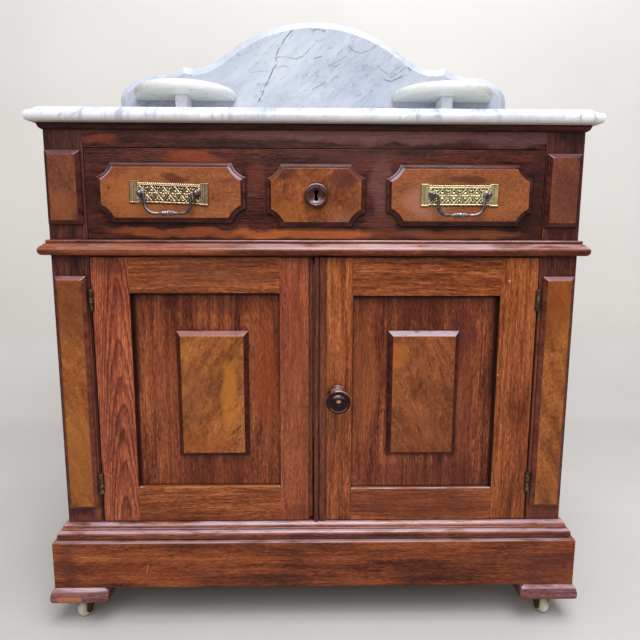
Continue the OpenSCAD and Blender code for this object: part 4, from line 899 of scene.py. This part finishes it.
mended("splashback", "case", "marble", 0.6)
for name in ("waist_moulding", "base_moulding"):
    mended(name, "case", "walnut", 0.5)
for name in ("drawer_left_block", "drawer_key_block", "drawer_right_block"):
    mended(name, "drawer", "burl_walnut", 0.6)


def hump(away, half, height):
    """A rounded ridge: its height at this distance from its middle."""
    if abs(away) >= half:
        return 0.0
    return height * math.sqrt(1 - (away / half) ** 2)


# The backplates and bails, in mm
PLATE_W = 106.0
PLATE_H = 31.0
PLATE_MID_H = 27.0
PLATE_END = 11.0
PLATE_T = 0.55
FIELD_X = PLATE_W / 2 - PLATE_END
STUD_X = 37.5
STUD_SEAT_R = 6.2
DIAMOND_W = 15.8
DIAMOND_H = 19.0
LATTICE_Z = -1.6
ROPE_H = 3.2
BEADING_H = 4.4
GROUND = 0.3
GRID_STEP = 0.42
GRID_ROWS = 76
BAIL_R = 1.8
LEG_X = 31.5
LEG_IN = 0.8
DROP = 27.0
CORNER_R = 13.0
SHOULDER_H = 1.5
LEAF_X = 12.5


def plate_outline(u):
    """The lower and upper edge of the plate, in mm from its middle."""
    if abs(u) > FIELD_X:
        return -PLATE_H / 2, PLATE_H / 2
    tooth = 1.6 * abs(((u / 6.0) % 1.0) - 0.5) * 2
    return -PLATE_MID_H / 2 - 0.4 - tooth, PLATE_MID_H / 2


def lattice(u, v):
    """Diamonds with a four-leaved flower in each, and a trefoil and beads between them."""
    du = u - (round(u / DIAMOND_W - 0.5) + 0.5) * DIAMOND_W
    dv = v - LATTICE_Z
    reach = math.hypot(du, dv)
    slope = math.hypot(2 / DIAMOND_W, 2 / DIAMOND_H)
    out = (abs(du) * 2 / DIAMOND_W + abs(dv) * 2 / DIAMOND_H - 1) / slope
    heights = [hump(out, 0.85, 1.1), hump(reach, 1.5, 1.2)]
    petal = 5.4 * abs(math.cos(2 * math.atan2(dv, du))) ** 0.6
    if 1.7 < reach < petal and out < -1.0:
        heights.append(0.95 * math.sin(math.pi * (reach - 1.5) / 4.2) ** 0.6)
    aside = DIAMOND_W / 2 - abs(du)
    for across, up, size in ((0.0, 6.6, 1.7), (0.0, 3.7, 0.9), (2.7, 8.0, 1.1)):
        heights.append(hump(math.hypot(aside - across, abs(dv) - up), size, 0.9))
    return max(0.45, GROUND + max(heights))


def plate_relief(u, v, low, high):
    """How far the plate's face stands over its ground, in mm."""
    edge = min(v - low, high - v, PLATE_W / 2 - abs(u))
    rim = min(1.0, max(0.0, edge / 0.5))
    over_stud = min(math.hypot(u - STUD_X, v), math.hypot(u + STUD_X, v))
    top = high - v
    if abs(u) > FIELD_X and abs(v) > PLATE_H / 2 - 2.6:
        # the borders of an end block
        height = 0.5 + hump(abs(v) - (PLATE_H / 2 - 1.4), 1.2, 0.9)
    elif abs(u) > FIELD_X:
        # its flutes
        height = 0.35 + hump(abs(((abs(u) - FIELD_X) % 2.2) - 1.1), 0.9, 0.85)
    elif top < ROPE_H:
        # a rope of slanted beads
        lean = (u + v * 0.8) / 2.6
        bead = hump((lean % 1.0) - 0.5, 0.40, 1.1)
        height = GROUND + bead * (1 - abs(top - ROPE_H / 2) / 2.4)
    elif top < BEADING_H:
        height = 0.5 + hump(top - 3.8, 0.6, 0.6)
    elif v - (-PLATE_MID_H / 2) < 1.6:
        height = 0.5 + hump(v + PLATE_MID_H / 2 - 0.8, 0.8, 0.8)
    else:
        height = lattice(u, v)
    if over_stud < STUD_SEAT_R:
        flat = min(1.0, max(0.0, (STUD_SEAT_R - over_stud) / 0.8))
        height = height * (1 - flat) + 0.9 * flat
    return height * rim + 0.15 * (1 - rim)


def backplate(name, cad_name, tones, seed, tilt):
    """A stamped plate, tilted by some degrees: a fine grid for the face, closed at the
    edges and the back."""
    low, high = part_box(cad_name)
    centre = (low + high) / 2
    back_y = high.y
    columns, rows = int(PLATE_W / GRID_STEP), GRID_ROWS
    verts, faces = [], []
    turn = math.radians(-tilt)

    def put(u, v, out):
        x = u * math.cos(turn) - v * math.sin(turn)
        z = u * math.sin(turn) + v * math.cos(turn)
        verts.append((centre.x + x * MM, back_y - out * MM, centre.z + z * MM))

    us = [-PLATE_W / 2 + PLATE_W * i / columns for i in range(columns + 1)]
    for u in us:
        bottom, top = plate_outline(u)
        for j in range(rows + 1):
            v = bottom + (top - bottom) * j / rows
            put(u, v, PLATE_T + plate_relief(u, v, bottom, top))
    front = len(verts)
    for u in us:
        for v in plate_outline(u):
            put(u, v, 0.0)

    def at(i, j):
        return i * (rows + 1) + j

    for i in range(columns):
        for j in range(rows):
            faces.append((at(i, j), at(i + 1, j), at(i + 1, j + 1), at(i, j + 1)))
        a, b = front + 2 * i, front + 2 * i + 2
        faces.append((at(i, 0), a, b, at(i + 1, 0)))
        faces.append((at(i, rows), at(i + 1, rows), b + 1, a + 1))
        faces.append((a, a + 1, b + 1, b))
    for i, side in ((0, 0), (columns, 1)):
        a = front + 2 * i
        ring = [at(i, j) for j in range(rows + 1)] + [a + 1, a]
        faces.append(ring if side else ring[::-1])
    material = metal(name, seed, tones, rough=0.42, relief=0.5, dirt=0.8, shine=0.9,
                     hollow=1.6 * MM, ground=(back_y - 0.95 * MM, back_y - 1.45 * MM))
    add_piece(name, verts, faces, material, "drawer", "aged_brass", cad_name)


backplate("left_plate", "left_backplate", OLIVE, 3, 1.8)
backplate("right_plate", "right_backplate", BRASS, 8, 0.0)


def tube(path, radii, crease, sides=16):
    """A round bar along a path, with a (width, height) radius at each point. Crease
    gives a share to add to the radius at a point and an angle round it."""
    verts, faces = [], []
    count = len(path)
    for i, point in enumerate(path):
        ahead = Vector(path[min(i + 1, count - 1)]) - Vector(path[max(i - 1, 0)])
        ahead.normalize()
        side = ahead.cross(Vector((0.0, -1.0, 0.0))).normalized()
        out = side.cross(ahead).normalized()
        flat, thick = radii[i]
        for k in range(sides):
            a = 2 * math.pi * k / sides
            more = 1 + crease(i, a)
            verts.append(tuple(Vector(point) + side * (flat * math.cos(a) * more)
                               + out * (thick * math.sin(a) * more)))
    for i in range(count - 1):
        for k in range(sides):
            n = (k + 1) % sides
            faces.append((i * sides + k, i * sides + n, (i + 1) * sides + n, (i + 1) * sides + k))
    faces.append(tuple(range(sides))[::-1])
    faces.append(tuple((count - 1) * sides + k for k in range(sides)))
    return verts, faces


def bail(name, cad_name, seed):
    """A cast drop handle: bar with a swell at the corners and a leaf in its middle."""
    low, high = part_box(cad_name)
    centre_x = (low.x + high.x) / 2
    axis_y = (low.y + high.y) / 2
    axis_z = high.z - BAIL_R * MM
    shoulder = STUD_X - 5.4
    # one half, as x, z and radius: the pin into the stud and the shoulder over it
    half = [(STUD_X - 3.2, 0.0, 1.35), (shoulder, 0.0, 1.45)]
    for k in range(7):
        a = math.pi / 2 * k / 6
        half.append((shoulder - (shoulder - LEG_X) * math.sin(a),
                     -SHOULDER_H * (1 - math.cos(a)), 1.6))
    # the leg
    for k in range(1, 9):
        z = -SHOULDER_H - (DROP - CORNER_R - SHOULDER_H) * k / 8
        half.append((LEG_X - LEG_IN * k / 8, z, 1.75 + 0.7 * k / 8))
    # the corner
    for k in range(1, 11):
        a = math.pi / 2 * k / 10
        half.append((LEG_X - LEG_IN - CORNER_R * (1 - math.cos(a)),
                     -(DROP - CORNER_R) - CORNER_R * math.sin(a),
                     2.45 + 0.15 * math.sin(math.pi * k / 10)))
    # the bar
    inner = LEG_X - LEG_IN - CORNER_R
    for k in range(1, 7):
        half.append((inner - (inner - LEAF_X) * k / 6, -DROP, 2.4 - 0.7 * k / 6))
    # the leaf between the halves
    leaf = []
    for k in range(1, 64):
        x = LEAF_X - 2 * LEAF_X * k / 64
        t = 1 - abs(x) / LEAF_X
        wide = 1.5 + 2.2 * math.sin(min(1.0, t * 1.5) * math.pi / 2) ** 1.3
        leaf.append((-x, -DROP, wide, 1.8 + 0.7 * t))
    whole = ([(-x, z, r, r) for x, z, r in half] + leaf
             + [(x, z, r, r) for x, z, r in reversed(half)])
    path = [(centre_x + x * MM, axis_y, axis_z + z * MM) for x, z, _, _ in whole]
    radii = [(wide * MM, thick * MM) for _, _, wide, thick in whole]

    def chevron(i, a):
        """V-shaped folds of the leaf: they meet at the bar's middle and open upward."""
        x, z = path[i][0] - centre_x, math.cos(a)
        t = 1 - abs(x) / (LEAF_X * MM)
        if t <= 0:
            return 0.0
        fold = math.cos((abs(x) / MM - 1.6 * abs(z)) * 2 * math.pi / 3.3)
        return 0.13 * fold * min(1.0, t * 3)

    material = metal(name, seed, BRONZE, rough=0.36, relief=0.3, dirt=0.6, shine=0.8)
    add_piece(name, *tube(path, radii, chevron), material, cad_name, "dark_bronze", cad_name)


bail("left_drop", "left_bail", 3)
bail("right_drop", "right_bail", 9)


# ---- floor, backdrop, light and camera ----


def backdrop():
    """A pale floor that sweeps up into a pale wall. The camera sees through it from
    behind and from below."""
    back, radius, half, top, near = 0.95, 0.25, 4.0, 3.2, -4.0
    profile = [(near, 0.0)]
    for i in range(13):
        a = math.pi / 2 * i / 12
        profile.append((back - radius + radius * math.sin(a), radius * (1 - math.cos(a))))
    profile.append((back, top))
    verts = [(x, y, z) for x in (-half, half) for y, z in profile]
    n = len(profile)
    g = Graph("backdrop")
    p = g.place()
    tone = g.noise(p, 2.0, 3.0, 0.5)
    floor = g.ramp(tone, [(0.3, (198, 195, 192)), (0.7, (206, 203, 200))])
    wall = g.ramp(tone, [(0.3, (224, 221, 216)), (0.7, (232, 229, 224))])
    colour = g.mix(g.steps(g.split(p)[2], 0.02, 0.3), floor, wall)
    # polished wood would show the floor as a pale haze: its reflection is dimmed
    glossy = g.add("ShaderNodeLightPath", output="Is Glossy Ray")
    colour = g.tint(colour, glossy, (92, 88, 86))
    material = g.finish(Base_Color=colour, Roughness=0.75, Specular_IOR_Level=0.2)
    surface = g.tree.nodes["Material Output"].inputs[0]
    solid = Field(g, surface.links[0].from_socket)
    from_behind = g.add("ShaderNodeNewGeometry", output="Backfacing")
    camera_ray = g.add("ShaderNodeLightPath", output="Is Camera Ray")
    clear = g.add("ShaderNodeBsdfTransparent")
    g.put(surface, g.add("ShaderNodeMixShader", {0: from_behind * camera_ray, 1: solid,
                                                 2: clear}))
    return add_object("backdrop", verts, [(i, i + n, i + n + 1, i + 1) for i in range(n - 1)],
                      material)


backdrop()

# Each lamp's place, what it faces, its width and height, its power and its colour
LAMPS = {
    "key": ((0.2, -1.7, 2.6), (0.0, -0.1, 0.45), (1.6, 1.1), 40, (0.98, 0.98, 1.0)),
    "ceiling": ((0.35, -0.55, 2.6), (0.3, -0.3, 0.4), (1.5, 1.7), 38, (0.94, 0.95, 1.0)),
    "front": ((-0.3, -3.0, 2.25), (0.0, 0.0, 0.45), (3.0, 1.3), 32, (1.0, 0.98, 0.96)),
}
for name, (place, aim, size, power, colour) in LAMPS.items():
    data = bpy.data.lights.new(name, "AREA")
    data.shape = "RECTANGLE"
    data.size, data.size_y = size
    data.energy = power
    data.color = colour
    lamp = bpy.data.objects.new(name, data)
    scene.collection.objects.link(lamp)
    lamp.location = place
    lamp.rotation_euler = (Vector(aim) - Vector(place)).to_track_quat("-Z", "Y").to_euler()

SKY = (0.98, 0.98, 1.0, 1.0)
world = bpy.data.worlds.new("studio")
world.use_nodes = True
sky = world.node_tree
base = sky.nodes["Background"]
base.inputs["Color"].default_value = SKY
base.inputs["Strength"].default_value = 0.24
shown = base.outputs[0]
# polish reflects a darker sky, and past the backdrop's edge the camera sees a pale one
for ray, strength in (("Is Glossy Ray", 0.06), ("Is Camera Ray", 0.75)):
    other = sky.nodes.new("ShaderNodeBackground")
    other.inputs["Color"].default_value = SKY
    other.inputs["Strength"].default_value = strength
    choice = sky.nodes.new("ShaderNodeMixShader")
    sky.links.new(sky.nodes.new("ShaderNodeLightPath").outputs[ray], choice.inputs[0])
    sky.links.new(shown, choice.inputs[1])
    sky.links.new(other.outputs[0], choice.inputs[2])
    shown = choice.outputs[0]
sky.links.new(shown, sky.nodes["World Output"].inputs[0])
scene.world = world

# The photograph's view: angles in degrees, and a lens in mm on a 36 mm square frame
CAMERA_PLACE = (-0.00946, -1.00115, 0.59973)
CAMERA_PITCH = 9.197
CAMERA_YAW = 1.034
CAMERA_ROLL = 0.165
data = bpy.data.cameras.new("camera")
data.sensor_width = 36
data.lens = 33.75
camera = bpy.data.objects.new("camera", data)
scene.collection.objects.link(camera)
camera.matrix_world = (Matrix.Translation(CAMERA_PLACE)
                       @ Matrix.Rotation(math.radians(-CAMERA_YAW), 4, "Z")
                       @ Matrix.Rotation(math.radians(90 - CAMERA_PITCH), 4, "X")
                       @ Matrix.Rotation(math.radians(CAMERA_ROLL), 4, "Z"))
scene.camera = camera
scene.view_settings.view_transform = "Standard"
